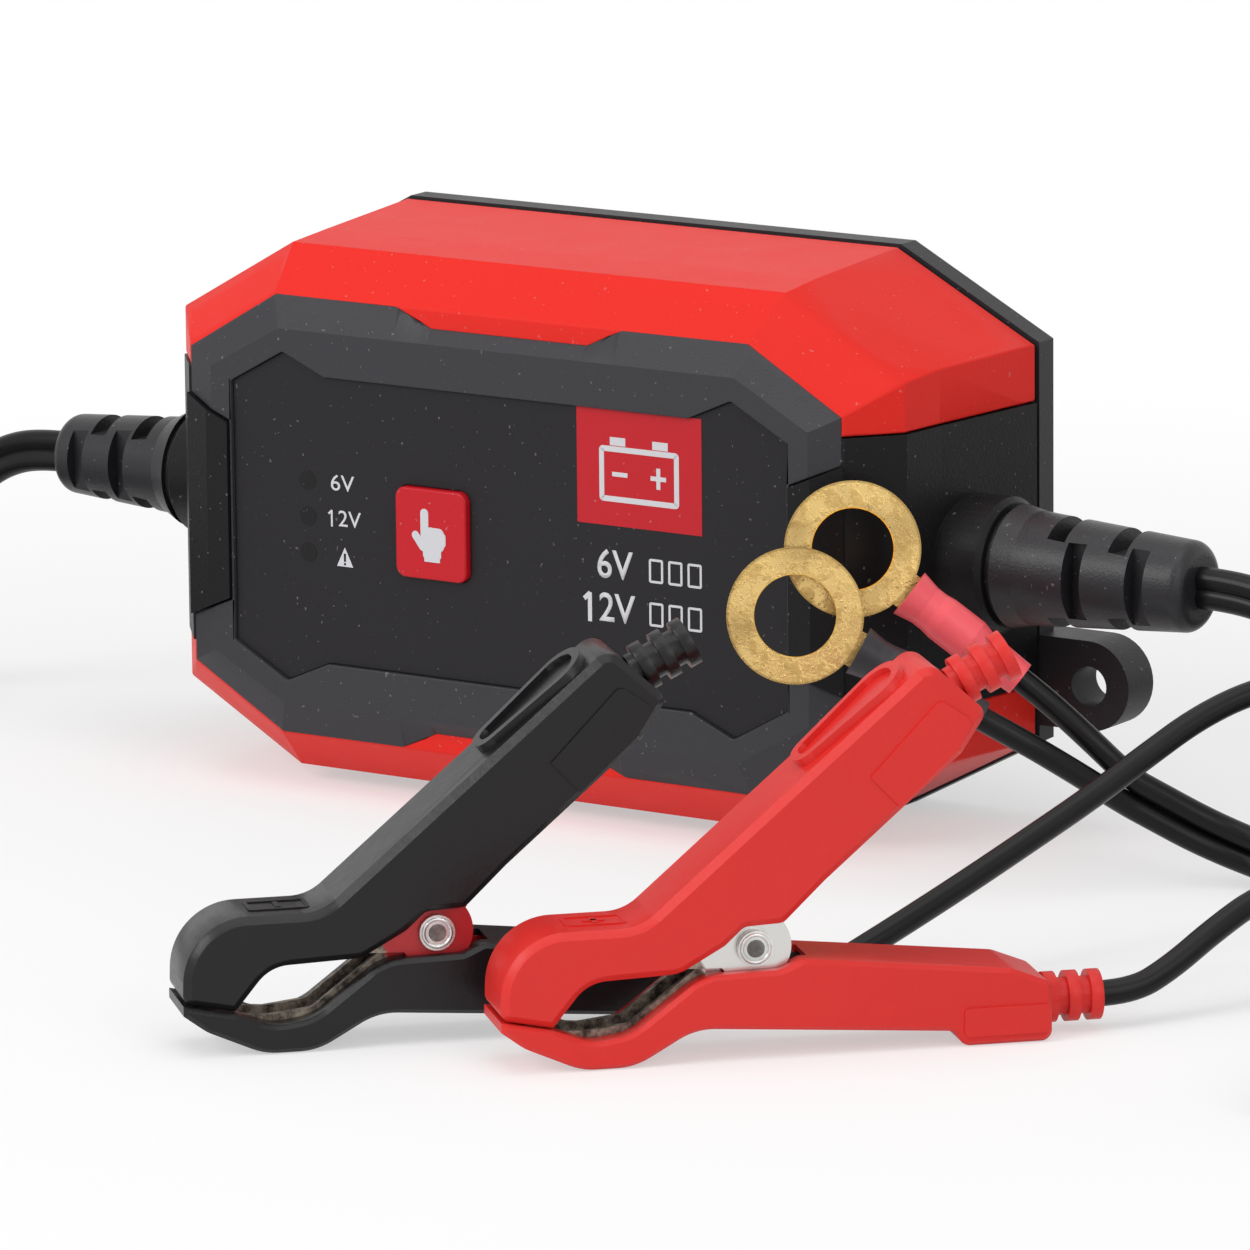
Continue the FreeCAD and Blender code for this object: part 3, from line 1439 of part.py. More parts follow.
def build_link(name, end, way):
    """Two pole quick connector with a contact pin in each of its two sockets."""
    block = Piece(name + "_connector")
    block.pad("YZ", "0", "link_length", rectangle(
        "-link_wide / 2", "-link_thick / 2", "link_wide / 2", "link_thick / 2", "link_round"))
    block.pad("YZ", "link_grip_start", "link_grip_long", rectangle(
        "-link_wide / 2 - link_grip", "-link_thick / 2", "link_wide / 2 + link_grip", "link_thick / 2",
        "link_round"))
    sockets = [Circle(side + "link_pole / 2", "0", "socket_radius") for side in ("", "-")]
    block.pocket("YZ", "link_length - link_shroud", "link_shroud + overcut", *sockets)
    seats = [Circle(side + "link_pole / 2", "0", "contact_radius + press_gap") for side in ("", "-")]
    block.pocket("YZ", "link_length - link_shroud - contact_root", "contact_root + overcut", *seats)
    lay(block.body, end, way)
    contacts = Piece(name + "_contacts")
    circles = [Circle(side + "link_pole / 2", "0", "contact_radius") for side in ("", "-")]
    contacts.pad("YZ", "link_length - link_shroud - contact_root",
        "contact_root + link_shroud - contact_drop", *circles)
    lay(contacts.body, end, way)


# Battery clamps, drawn round their pivot: X along the clamp, Y away from the viewer

def build_clamp(colour):
    frame = colour + "_clamp"
    build_upper_cover(colour, frame)
    build_lower_cover(colour, frame)
    build_jaws(colour, frame)
    build_pivot(colour, frame)


def build_upper_cover(colour, frame):
    """Plastic cover of the moving jaw, with a thumb pad and a ribbed boot at its tail."""
    cover = Piece(colour + "_upper_cover")
    cover.even_pad("XZ", "clamp_half", Outline(
        ("-jaw_reach", "-jaw_tip_drop + mouth_gap", "1.3"), ("-jaw_reach + 0.3", "nose_high", "8"),
        ("-arm_bend", "nose_high", "6"), ("tail_reach", "tail_high", "2.2"),
        ("tail_end_reach", "tail_end_high", "1.5"), ("25.5", "22.6", "3"), ("8.5", "7.9", "4"),
        ("3.4", "3", "1.5"),
        ("-1.4", "2.8", "1.5"), ("-3.8", "0.6", "2"), ("-9.4", "-2.5", "5"), ("-20.6", "-2.9", "5"),
        ("-mouth_reach", "-mouth_drop + mouth_gap")))
    cover.bevel_edges("cover_bevel", clamp_rim)
    cover.even_pad("XZ", "clamp_half + panel_proud", Outline(
        ("14", "20.4"), ("22.6", "29.4", "1"), ("26.6", "26.6", "1"), ("24.7", "23.1", "1"),
        ("17.6", "16.6")))
    cover.even_pocket("XZ", "jaw_half + jaw_clear", upper_hollow())
    cover.slanted(
        "thumb_slope", "thumb_reach", "thumb_high", "thumb_rise", "thumb_sunk", thumb_outline("0"))
    cover.slanted_pocket(
        "thumb_slope", "thumb_reach", "thumb_high", "thumb_rise", "thumb_dish", thumb_outline("thumb_rim"))
    cover.boot("tail_boot_slope", "tail_boot_reach", "tail_boot_high", "boot_long")
    place(cover.body, frame)


def thumb_outline(inset):
    """Drop shaped thumb pad, narrow towards the nose and wide towards the tail."""
    low, high = f"thumb_narrow / 2 - {inset}", f"thumb_wide / 2 - {inset}"
    start, end = f"-thumb_long / 2 + {inset}", f"thumb_long / 2 - {inset}"
    return Outline(
        (start, f"-({low})", f"0.9 * ({low})"), (end, f"-({high})", f"0.8 * ({high})"),
        (end, high, f"0.8 * ({high})"), (start, low, f"0.9 * ({low})"))


def clamp_rim(edge):
    """True for edges that run in one of the clamp's two side faces."""
    box = edge.BoundBox
    return box.YLength < 0.01 and abs(abs(box.YMin) - number("clamp_half")) < 0.01


def upper_hollow():
    """Room for the moving jaw inside its cover, open towards the clamp's mouth."""
    return Outline(
        ("-28.6", "-9.5"), ("-28.6", "-2"), ("-25.5", "nose_high - cover_roof"),
        ("-13.5", "nose_high - cover_roof"),
        ("20.3", "30.8"), ("26.2", "25"), ("27", "20"), ("8", "4"), ("0", "-5"), ("-10", "-7"),
        ("-20", "-7"))


def build_lower_cover(colour, frame):
    """Plastic cover of the fixed jaw, with a belly under the mouth and a boot for the lead."""
    cover = Piece(colour + "_lower_cover")
    cover.even_pad("XZ", "clamp_half", Outline(
        ("-jaw_reach", "-jaw_tip_drop"), ("-jaw_reach", "-jaw_tip_drop - mouth_blunt"),
        ("-28.5", "-10.4", "6"), ("-belly_end", "-belly_drop", "8"),
        ("-belly_start", "-belly_drop", "8"), ("-7.5", "-9.3", "8"), ("24.3", "-11.6", "1.5"),
        ("grip_start", "-belly_drop", "1.5"), ("grip_reach", "-belly_drop", "1.3"),
        ("grip_reach", "-6.3", "1.3"),
        ("grip_reach - 5", "-grip_top", "3"), ("5.6", "-1.5", "2"), ("3", "-2.7", "2"),
        ("-6.6", "-2.9", "7"),
        ("-15.5", "-9.6", "7"), ("-20.3", "-10.2", "6"), ("-mouth_reach", "-mouth_drop")))
    cover.bevel_edges("cover_bevel * 0.6", clamp_rim)
    cover.even_pocket("XZ", "jaw_half + jaw_clear", Circle("0", "0", "ear_plate + part_gap"))
    cover.even_pad("XZ", "clamp_half + panel_proud", rectangle(
        "grip_start", "-belly_drop + 1.2", "grip_reach - 0.4", "-8.8", "0.6"))
    cover.even_pocket("XZ", "jaw_inner_half + jaw_clear", lower_hollow())
    cover.boot("0", "grip_reach", "-lower_boot_drop", "boot_long")
    place(cover.body, frame)


def lower_hollow():
    """Room for the fixed jaw inside its cover: open at the mouth, closed over the grip."""
    return Outline(
        ("-28.2", "2"), ("-28.2", "-9"), ("-21.3", "-belly_drop + cover_roof"),
        ("-15.3", "-belly_drop + cover_roof"),
        ("-7.9", "-7.5"), ("24", "-9.8"), ("grip_reach - cover_end", "-10.4"),
        ("grip_reach - cover_end", "-6.8"), ("grip_reach - cover_end - 3.4", "-4.9"), ("6.6", "-2.2"),
        ("6.6", "2"))


def build_jaws(colour, frame):
    """Two bent sheet jaws, each a channel with ears round the pivot."""
    upper = Piece(colour + "_upper_jaw")
    clear = "jaw_clear"
    roof = "nose_high - cover_roof"
    base = "-belly_drop + cover_roof"
    end = "grip_reach - cover_end"
    upper.even_pad("XZ", "jaw_half", Outline(
        ("-28.4", "-7.2"), ("-28.4", "-2"), ("-25.5", f"{roof} - {clear}"), ("-13.5", f"{roof} - {clear}"),
        ("20.3", f"30.8 - {clear} * 1.4"), ("26", "25"), ("24.4", "23"), ("8", "9"), ("3.6", "4.4"),
        ("-1.8", "3.4"),
        ("-4.8", "-0.4"), ("-9.4", "-2"), ("-20.9", "-2.4"), ("-25", "-7.9")))
    upper.even_pad("XZ", "jaw_half", Circle("0", "0", "ear_plate"))
    upper.even_pad("XZ", "jaw_half", Outline(("-8.6", "-2.2"), ("0", "-2.5"), ("3.6", "2.5"), ("7", "9"),
        ("-3", "5"), ("-8.6", "-1.8")))
    upper.even_pocket("XZ", "jaw_half - jaw_sheet", Outline(
        ("-28.6", "-9.5"), ("-27.6", "-7"), ("-27.6", "-2.3"), ("-25.1", f"{roof} - {clear} - jaw_sheet"),
        ("-13.2", f"{roof} - {clear} - jaw_sheet"), ("20.3", f"30.8 - {clear} - jaw_sheet * 1.5"),
        ("24.9", "25"), ("26", "20"), ("8", "2"), ("4", "-6"), ("-10", "-7"), ("-20", "-9")))
    upper.even_pocket("XZ", "jaw_half", Circle("0", "0", "rivet_radius + pivot_gap"))
    place(upper.body, frame)
    lower = Piece(colour + "_lower_jaw")
    lower.even_pad("XZ", "jaw_inner_half", Outline(
        ("-28.1", "-7.8"), ("-28", f"-9 + {clear}"), ("-21.3", f"{base} + {clear}"),
        ("-15.3", f"{base} + {clear}"),
        ("-7.9", f"-7.5 + {clear}"), ("24", f"-9.8 + {clear}"),
        (f"{end} - 2 * {clear}", f"-10.4 + {clear}"),
        (f"{end} - 2 * {clear}", "-6.9"), (f"{end} - 3.5", "-5"), ("6", "-2.3"), ("3", "-3.2"),
        ("-3.5", "-2"), ("-6.9", "-2.4"), ("-15.2", "-8.7"),
        ("-20.4", "-9.3"), ("-24.9", "-8.9")))
    lower.even_pad("XZ", "jaw_inner_half", Circle("0", "0", "ear_plate - jaw_sheet / 2"))
    lower.even_pad("XZ", "jaw_inner_half", Outline(("-3.9", "-1"), ("-5", "-4"), ("5", "-4"),
        ("3.9", "-1")))
    lower.even_pocket("XZ", "jaw_inner_half - jaw_sheet", Outline(
        ("-27.3", "6"), ("-27.3", f"-9 + {clear} + jaw_sheet"), ("-21.1", f"{base} + {clear} + jaw_sheet"),
        ("-15.5", f"{base} + {clear} + jaw_sheet"), ("-8.2", f"-7.5 + {clear} + jaw_sheet"),
        ("24", f"-9.8 + {clear} + jaw_sheet"), ("grip_reach", f"-10.4 + {clear} + jaw_sheet"),
        ("grip_reach", "6")))
    lower.even_pocket("XZ", "jaw_inner_half", Circle("0", "0", "rivet_radius + pivot_gap"))
    place(lower.body, frame)


def build_pivot(colour, frame):
    """Pivot rivet, and the torsion spring wound on it between the ears."""
    rivet = Piece(colour + "_pivot_rivet")
    rivet.even_pad("XZ", "jaw_half + pivot_gap", Circle("0", "0", "rivet_radius"))
    for start in ("jaw_half + pivot_gap", "-(jaw_half + pivot_gap + rivet_head_thick)"):
        rivet.pad("XZ", start, "rivet_head_thick", Circle("0", "0", "rivet_head_radius"))
    place(rivet.body, frame)
    wire = number("spring_wire")
    radius = number("rivet_radius + spring_wire / 2 + pivot_gap")
    turns = number("spring_turns")
    leg = number("spring_leg")
    start_angle = math.radians(number("spring_upper_angle") + 90)
    pitch = number("spring_pitch")
    length = turns * 2 * math.pi
    count = round(turns * 4)
    nodes = []
    for index in range(count + 1):
        angle = start_angle + index * length / count
        level = (index / count - 0.5) * turns * pitch
        rise = pitch / (2 * math.pi) if 0 < index < count else 0.0
        way = Vector(-math.sin(angle) * radius, rise, math.cos(angle) * radius).normalize()
        nodes.append((Vector(math.cos(angle) * radius, level, math.sin(angle) * radius), way))
    edges = [Part.LineSegment(nodes[0][0] - nodes[0][1] * leg, nodes[0][0]).toShape()]
    for (near, near_way), (far, far_way) in zip(nodes, nodes[1:]):
        edges += two_arcs(near, near_way, far, far_way)
    edges.append(Part.LineSegment(nodes[-1][0], nodes[-1][0] + nodes[-1][1] * leg).toShape())
    sweep(colour + "_spring", edges, round_section(wire, wire), Vector(0, 1, 0), frame)


# Ring terminals, drawn round the centre of the hole: X along the tongue, Z up

def build_ring(colour):
    frame = colour + "_ring"
    ring = Piece(colour + "_ring_terminal")
    ring.even_pad("XZ", "ring_thick / 2", Circle("0", "0", "ring_radius"))
    ring.even_pad("XZ", "ring_thick / 2", rectangle(
        "ring_hole + ring_thick", "-ring_neck_half", "sleeve_start + neck_depth", "ring_neck_half"))
    ring.turn("XZ", "X", rectangle(
        "sleeve_start + neck_depth - ring_thick", "0", "sleeve_start + barrel_end", "barrel_radius"))
    ring.even_pocket("XZ", "ring_thick", Circle("0", "0", "ring_hole"))
    place(ring.body, frame)
    sleeve = Piece(colour + "_ring_sleeve")
    sleeve.turn("XZ", "X", Outline(
        ("sleeve_start", "0"), ("sleeve_start", "sleeve_root"), ("sleeve_start + 2.6", "sleeve_neck"),
        ("sleeve_start + neck_depth - 0.6", "sleeve_neck"),
        ("sleeve_start + neck_depth + 0.8", "sleeve_belly"),
        ("sleeve_start + barrel_end - 0.6", "sleeve_belly"),
        ("sleeve_start + barrel_end + 1", "sleeve_tip + 0.3"),
        ("sleeve_start + sleeve_length", "sleeve_tip"), ("sleeve_start + sleeve_length", "0")))
    sleeve.turn_out("XZ", "X", rectangle(
        "sleeve_start - overcut", "0", "sleeve_start + barrel_end + part_gap",
        "barrel_radius + press_gap"))
    sleeve.even_pocket("XZ", "ring_thick / 2 + press_gap", rectangle(
        "sleeve_start - overcut", "-ring_neck_half - press_gap",
        "sleeve_start + neck_depth + press_gap", "ring_neck_half + press_gap"))
    place(sleeve.body, frame)


def check_and_write():
    """Checks every object and writes each sub-part as a STEP file."""
    doc.recompute()
    for item in doc.Objects:
        if "Invalid" in item.State or "Error" in item.State:
            raise RuntimeError(f"{item.Label} failed: {item.State}")
    for cut in cuts:
        if cut.Shape.Volume > 0.9999 * cut.BaseFeature.Shape.Volume:
            raise RuntimeError(f"{cut.Label} removes nothing")
    os.makedirs("parts", exist_ok=True)
    for item in pieces:
        if item.Shape.isNull() or not item.Shape.isValid():
            raise RuntimeError(f"{item.Label} has no valid shape")
        item.Shape.exportStep(f"parts/{item.Label}.step")
        print(item.Label, "solids", len(item.Shape.Solids), "volume", round(item.Shape.Volume, 1))


build_red_shell()
build_front_bezel()
build_front_label()
build_mode_button()
build_button_switch()
build_indicator_lights()
build_end_plate("", "end_plate_right")
build_end_plate("-", "end_plate_left")
build_back_cover()
build_case_seal()
build_case_screws()
build_circuit_board()
build_board_screws()
build_transformer()
build_can("supply_capacitor", "supply_can")
build_can("output_capacitor", "output_can")
build_heat_sink()
build_fuse()
build_choke()
build_chip()
build_relief("mains_strain_relief", "", "mains")
build_relief("output_strain_relief", "-", "output")
build_mains_plug(*build_mains_lead())
build_link("output", *build_output_lead())
build_link("clamp", *build_clamp_leads())
build_link("ring", *build_ring_leads())
for colour in ("red", "black"):
    build_clamp(colour)
    build_ring(colour)
check_and_write()
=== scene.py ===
# %% [markdown]
# This lesson dresses a small car battery charger: a red case with a charcoal front, a mains lead,
# an output lead, two battery clamps and two ring terminals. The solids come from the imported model,
# in metres, and every new piece is placed in that same frame.

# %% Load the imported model
import json
import math
import bmesh
import bpy
from mathutils import Matrix, Vector

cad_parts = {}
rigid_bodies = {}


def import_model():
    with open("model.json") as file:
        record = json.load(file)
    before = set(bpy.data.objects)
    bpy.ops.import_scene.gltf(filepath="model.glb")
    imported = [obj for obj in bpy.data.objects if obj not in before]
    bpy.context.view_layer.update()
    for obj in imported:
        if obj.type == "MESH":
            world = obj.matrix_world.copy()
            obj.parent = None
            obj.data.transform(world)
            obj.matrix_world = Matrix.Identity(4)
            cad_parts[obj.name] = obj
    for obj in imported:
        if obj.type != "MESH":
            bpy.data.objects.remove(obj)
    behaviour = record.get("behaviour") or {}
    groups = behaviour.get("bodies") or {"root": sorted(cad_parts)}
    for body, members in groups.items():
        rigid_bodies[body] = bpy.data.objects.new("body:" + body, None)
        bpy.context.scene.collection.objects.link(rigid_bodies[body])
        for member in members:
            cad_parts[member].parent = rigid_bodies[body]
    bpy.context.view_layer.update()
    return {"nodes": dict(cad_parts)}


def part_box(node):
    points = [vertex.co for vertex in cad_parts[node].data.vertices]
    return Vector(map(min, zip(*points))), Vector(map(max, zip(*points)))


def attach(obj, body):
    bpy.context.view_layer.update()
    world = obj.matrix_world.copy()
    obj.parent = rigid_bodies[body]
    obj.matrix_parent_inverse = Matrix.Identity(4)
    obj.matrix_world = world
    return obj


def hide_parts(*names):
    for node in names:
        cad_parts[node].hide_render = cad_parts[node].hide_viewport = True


for leftover in list(bpy.data.objects):
    bpy.data.objects.remove(leftover)
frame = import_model()
nodes = frame["nodes"]

# %% [markdown]
# The drawing of the case counts in millimetres from the middle of its front. Routes and marks are
# easier to read that way, so one helper turns such a point into a point of the model. Both clamps
# lie turned by the same angle, so their directions along and across are kept here too.

# %% Points in millimetres from the middle of the case front
MM = 0.001
CASE_SPOT = Vector((-18.319, 41.68, 37.95))
CLAMP_TURN = math.radians(46)
CLAMP_WAY = Vector((math.cos(CLAMP_TURN), math.sin(CLAMP_TURN), 0))
CLAMP_ACROSS = Vector((-CLAMP_WAY.y, CLAMP_WAY.x, 0))


def spot(x, y, z):
    """A point of the case drawing, in metres."""
    return (Vector((x, y, z)) + CASE_SPOT) * MM


print("case front middle", [round(v, 4) for v in spot(0, 0, 0)])

# %% [markdown]
# A product picture is taken with a long lens, so parallel edges stay nearly parallel. The camera
# stands more than a metre away to the right of the front, a little above the case, and its lens is
# shifted, rather than the camera turned, to set the frame.

# %% Camera
AIM = Vector((-0.018319, 0.04168, 0.03795))
EYE = Vector((0.68930, -1.00348, 0.29406))
LENS, SENSOR = 281.6, 36
SHIFT_X, SHIFT_Y = 0.0912, -0.0668
LEAN = math.radians(-0.69)
camera_data = bpy.data.cameras.new("camera")
camera_data.lens = LENS
camera_data.sensor_width = SENSOR
camera_data.shift_x = SHIFT_X
camera_data.shift_y = SHIFT_Y
camera = bpy.data.objects.new("camera", camera_data)
bpy.context.scene.collection.objects.link(camera)
ahead = (AIM - EYE).normalized()
level = ahead.cross(Vector((0, 0, 1))).normalized()
upright = level.cross(ahead)
side = level * math.cos(LEAN) + upright * math.sin(LEAN)
over = upright * math.cos(LEAN) - level * math.sin(LEAN)
camera.matrix_world = Matrix.Translation(EYE) @ Matrix((side, over, -ahead)).transposed().to_4x4()
bpy.context.scene.camera = camera
bpy.context.scene.view_settings.view_transform = "Standard"
print("camera stands", round((AIM - EYE).length, 3), "m away")

# %% [markdown]
# A cord is a fixed length of something soft. Its middle line is one smooth NURBS curve that cuts
# inside the corners of its route, just as a stiff lead does. Blender draws a section along the
# curve, and the result is kept as a mesh, so that the section can be an oval or a figure of eight.

# %% Helpers for cords
def route_curve(name, points):
    """One open spline of order three through the route's control points, in metres."""
    curve = bpy.data.curves.new(name, "CURVE")
    curve.dimensions = "3D"
    curve.twist_mode = "Z_UP"
    curve.resolution_u = 8
    spline = curve.splines.new("NURBS")
    spline.points.add(len(points) - 1)
    for knot, point in zip(spline.points, points):
        knot.co = (*point, 1)
    spline.order_u = 3
    spline.use_endpoint_u = True
    return curve


def as_mesh(name, data):
    """The mesh that a curve or text gives, without leaving the curve in the scene."""
    holder = bpy.data.objects.new(name, data)
    bpy.context.scene.collection.objects.link(holder)
    bpy.context.view_layer.update()
    mesh = bpy.data.meshes.new_from_object(holder.evaluated_get(bpy.context.evaluated_depsgraph_get()))
    bpy.data.objects.remove(holder)
    return mesh


def show(name, mesh):
    """A piece with that mesh, standing at the origin."""
    mesh.name = name
    piece = bpy.data.objects.new(name, mesh)
    bpy.context.scene.collection.objects.link(piece)
    return piece


def smooth(mesh, angle):
    """Round shading everywhere but along edges sharper than the angle."""
    mesh.polygons.foreach_set("use_smooth", [True] * len(mesh.polygons))
    mesh.set_sharp_from_angle(angle=math.radians(angle))


# %% Sections of the leads
def section_curve(name, outline):
    """A closed outline, in millimetres, that a cord drags along its route."""
    curve = bpy.data.curves.new(name, "CURVE")
    curve.dimensions = "2D"
    line = curve.splines.new("POLY")
    line.points.add(len(outline) - 1)
    for knot, (x, y) in zip(line.points, outline):
        knot.co = (x * MM, y * MM, 0, 1)
    line.use_cyclic_u = True
    profile = bpy.data.objects.new(name, curve)
    bpy.context.scene.collection.objects.link(profile)
    profile.hide_render = True
    return profile


def lobes(tall, thick, waist):
    """Two round lobes one over the other. The waist is the angle where they meet."""
    half, rise = thick / 2, tall / 2 - thick / 2
    outline = []
    for centre, first in ((rise, -waist), (-rise, 180 - waist)):
        for step in range(13):
            angle = math.radians(first + step * (180 + 2 * waist) / 12)
            outline.append((half * math.cos(angle), centre + half * math.sin(angle)))
    return outline


def cord_piece(name, points, profile):
    curve = route_curve(name, points)
    middle = [vertex.co.copy() for vertex in as_mesh(name, curve.copy()).vertices]
    curve.bevel_mode = "OBJECT"
    curve.bevel_object = profile
    curve.use_fill_caps = True
    mesh = as_mesh(name, curve)
    smooth(mesh, 60)
    length = sum((b - a).length for a, b in zip(middle, middle[1:]))
    print(name, "length", round(length, 4), "m,", len(mesh.polygons), "faces")
    return show(name, mesh), middle


# %% [markdown]
# What the picture doesn't show of a lead is put away in a neat coil. The coil winds in along one
# level and out again along the next, and its control points come from a loop: sixteen a turn, set
# just outside the wanted circle because the curve runs inside them.

# %% Control points of a coil
PER_TURN = 16


def ramp(share):
    """A soft step from 0 to 1."""
    share = min(max(share, 0), 1)
    return share * share * (3 - 2 * share)


def coil_points(centre, entry, turns, outer, pitch, levels, lift=0.0):
    """Points of a coil in two layers, in millimetres of the case drawing."""
    count = round(turns * PER_TURN)
    step = turns * 2 * math.pi / count
    quarter = PER_TURN / 4
    points = []
    for index in range(count):
        share = index + 0.5
        angle = entry + share * step
        radius = outer - pitch * turns / 2 + pitch / (2 * math.pi) * step * abs(share - count / 2)
        radius /= math.cos(step / 2)
        level = levels[0] + (levels[1] - levels[0]) * ramp((share - count / 2) / (2 * quarter) + 0.5)
        level += lift * ramp((share - count + quarter) / quarter)
        points.append((centre[0] + math.cos(angle) * radius, centre[1] + math.sin(angle) * radius, level))
    return points


# %% [markdown]
# The mains lead leaves its strain relief straight, sags to the floor and runs on to its coil behind
# the right end, out of the picture. It is a flat lead laid on its edge. About 1.6 m is usual for
# such a charger. The last quarter turn bends in over the coil, where the plug lies.

# %% Mains lead
GLAND_Y = 20.5
mains_section = section_curve("mains_section", lobes(5.6, 3.4, 62))
MAINS_START = 92.9
MAINS_RUN = [
    (0, 0, 0), (6, 0, 0), (12.8, 0, -1.8), (19.4, 0, -5.6), (25, 0.1, -11.4), (29.8, 0.3, -18.2),
    (35, 0.8, -24.8), (41.2, 2, -30.2), (48.5, 4.4, -33.7)]
mains_route = [(MAINS_START + x, GLAND_Y + y, z) for x, y, z in MAINS_RUN]
mains_route += [(148.95, 28.82, -34.85), (155.095, 33.125, -34.85)]
MAINS_CENTRE = (138.7, 67)
MAINS_HEADING = math.radians(35)
MAINS_TURNS = 8.153
MAINS_OUTER, MAINS_PITCH = 37.153, 4.0
MAINS_LEVELS, MAINS_LIFT = (-34.85, -28.65), 6.2
BEND_HALF = math.radians(22.5)
mains_coil = coil_points(
    MAINS_CENTRE, MAINS_HEADING - math.pi / 2, MAINS_TURNS, MAINS_OUTER, MAINS_PITCH, MAINS_LEVELS,
    MAINS_LIFT)
leave = MAINS_HEADING - math.pi / 2 + MAINS_TURNS * 2 * math.pi
out = Vector((math.cos(leave), math.sin(leave), 0))
along = Vector((-math.sin(leave), math.cos(leave), 0))
last = Vector((*MAINS_CENTRE, MAINS_LEVELS[1] + MAINS_LIFT)) + out * MAINS_OUTER
inner = MAINS_OUTER / 2
middle = last - out * inner
for turn, rise in ((22.5, 0.4), (67.5, 3.3)):
    ray = out * math.cos(math.radians(turn)) + along * math.sin(math.radians(turn))
    mains_coil.append(tuple(middle + ray * inner / math.cos(BEND_HALF) + Vector((0, 0, rise))))
mains_coil.append(tuple(middle + along * inner - out * 6 + Vector((0, 0, 3.55))))
mains_cord, mains_middle = cord_piece(
    "mains_lead", [spot(*point) for point in mains_route + mains_coil], mains_section)
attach(mains_cord, "charger")
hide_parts("mains_cord", "mains_cord_coil")

# %% [markdown]
# The output lead is a light twin lead whose two cores show as two round lobes. It leaves the left
# end, sags to the floor and is wound on its own coil, just outside the picture, with the
# connector that takes either of the two accessory leads.

# %% Output lead
output_section = section_curve("output_section", lobes(5.8, 2.9, 55))
OUTPUT_START = -86.9
OUTPUT_RUN = [
    (0, 0), (-5.5, 0), (-11.3, -1.4), (-16.5, -4.6), (-20.5, -9.2), (-23.3, -14.6), (-26.5, -19.8),
    (-30.7, -24.2), (-36, -27)]
output_route = [(OUTPUT_START + x, GLAND_Y, z) for x, z in OUTPUT_RUN]
output_route += [(-128.5, GLAND_Y, -28.05), (-133.5, GLAND_Y, -28.05)]
OUTPUT_OUTER = 32.9375
OUTPUT_TURNS = 4.5
OUTPUT_CENTRE = (-139.5, GLAND_Y - OUTPUT_OUTER)
output_coil = coil_points(
    OUTPUT_CENTRE, math.pi / 2, OUTPUT_TURNS, OUTPUT_OUTER, 3.5, (-28.05, -34.45))
output_coil.append((OUTPUT_CENTRE[0] + 24, OUTPUT_CENTRE[1] - OUTPUT_OUTER, -34.45))
output_cord, output_middle = cord_piece(
    "output_lead", [spot(*point) for point in output_route + output_coil], output_section)
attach(output_cord, "charger")
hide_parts("output_cord", "output_cord_coil")

# %% [markdown]
# Each accessory lead is one bare core from its clamp or ring to the place where the two cores join,
# and from there they run on side by side as a twin lead. Here every core is one cord from end to
# end, so the join is simply where the two come to lie on each other.

# %% Accessory leads
core_section = section_curve("core_section", lobes(3.2, 3.2, 0))
CORE_HALF = 1.6


def beside(points, half):
    """The twin lead's route, moved to one of its cores: up or down across the run."""
    moved = []
    for index, point in enumerate(points):
        before, after = points[max(index - 1, 0)], points[min(index + 1, len(points) - 1)]
        way = (Vector(after) - Vector(before)).normalized()
        rise = Vector((0, 0, 1)) - way * way.z
        moved.append(tuple(Vector(point) + rise.normalized() * half))
    return moved


def core(name, points, replaced):
    """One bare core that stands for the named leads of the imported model."""
    piece, line = cord_piece(name, [spot(*point) for point in points], core_section)
    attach(piece, "charger")
    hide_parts(*replaced)
    return piece


clamp_twin = [(154.5, -39, -34.45), (157.7, -45.9, -34.45), (160.1, -53, -34.45), (161.7, -59.5, -34.45)]
black_start = Vector((84.387, -67.037, -33.85))
red_start = Vector((121.487, -53.837, -33.85))
black_route = [tuple(black_start), tuple(black_start + CLAMP_WAY * 5)] + [
    (92, -54.2, -29.9), (95.6, -42.6, -25.8), (99.3, -32.6, -21.6), (102.9, -23.4, -17.5),
    (106.1, -15.6, -13.4), (109.1, -8.6, -9.8), (112.8, -1.8, -7.3), (117.4, 4.4, -6.3), (124, 8.6, -8),
    (132, 8.6, -11.8), (139.5, 4.8, -17.4), (146, -2, -23.6), (150.4, -10.4, -29.2), (152.2, -19.8, -33.6)]
join_way = (Vector(clamp_twin[1]) - Vector(clamp_twin[0])).normalized()
clamp_low, clamp_high = beside(clamp_twin, -CORE_HALF), beside(clamp_twin, CORE_HALF)
black_route += [tuple(Vector(clamp_low[0]) - join_way * 9.4)] + clamp_low
red_route = [tuple(red_start), tuple(red_start + CLAMP_WAY * 4.4)] + [
    (127, -45.8, -31.6), (129.5, -39.6, -27.9), (131.9, -33, -24.9), (135.6, -27.4, -23.6),
    (141.2, -24.5, -24.4), (146.9, -25.3, -27.4), (150.9, -29.6, -30.9)]
red_route += [tuple(Vector(clamp_high[0]) - join_way * 5.6)] + clamp_high
black_clamp_cord = core(
    "black_clamp_core", black_route, ["black_clamp_lead", "clamp_twin_lead"])
red_clamp_cord = core("red_clamp_core", red_route, ["red_clamp_lead"])

# %% [markdown]
# The two leads of the ring terminals hang down and away from the sleeves in short arcs, and join
# sooner than the clamps' leads do. They are made in the same way.

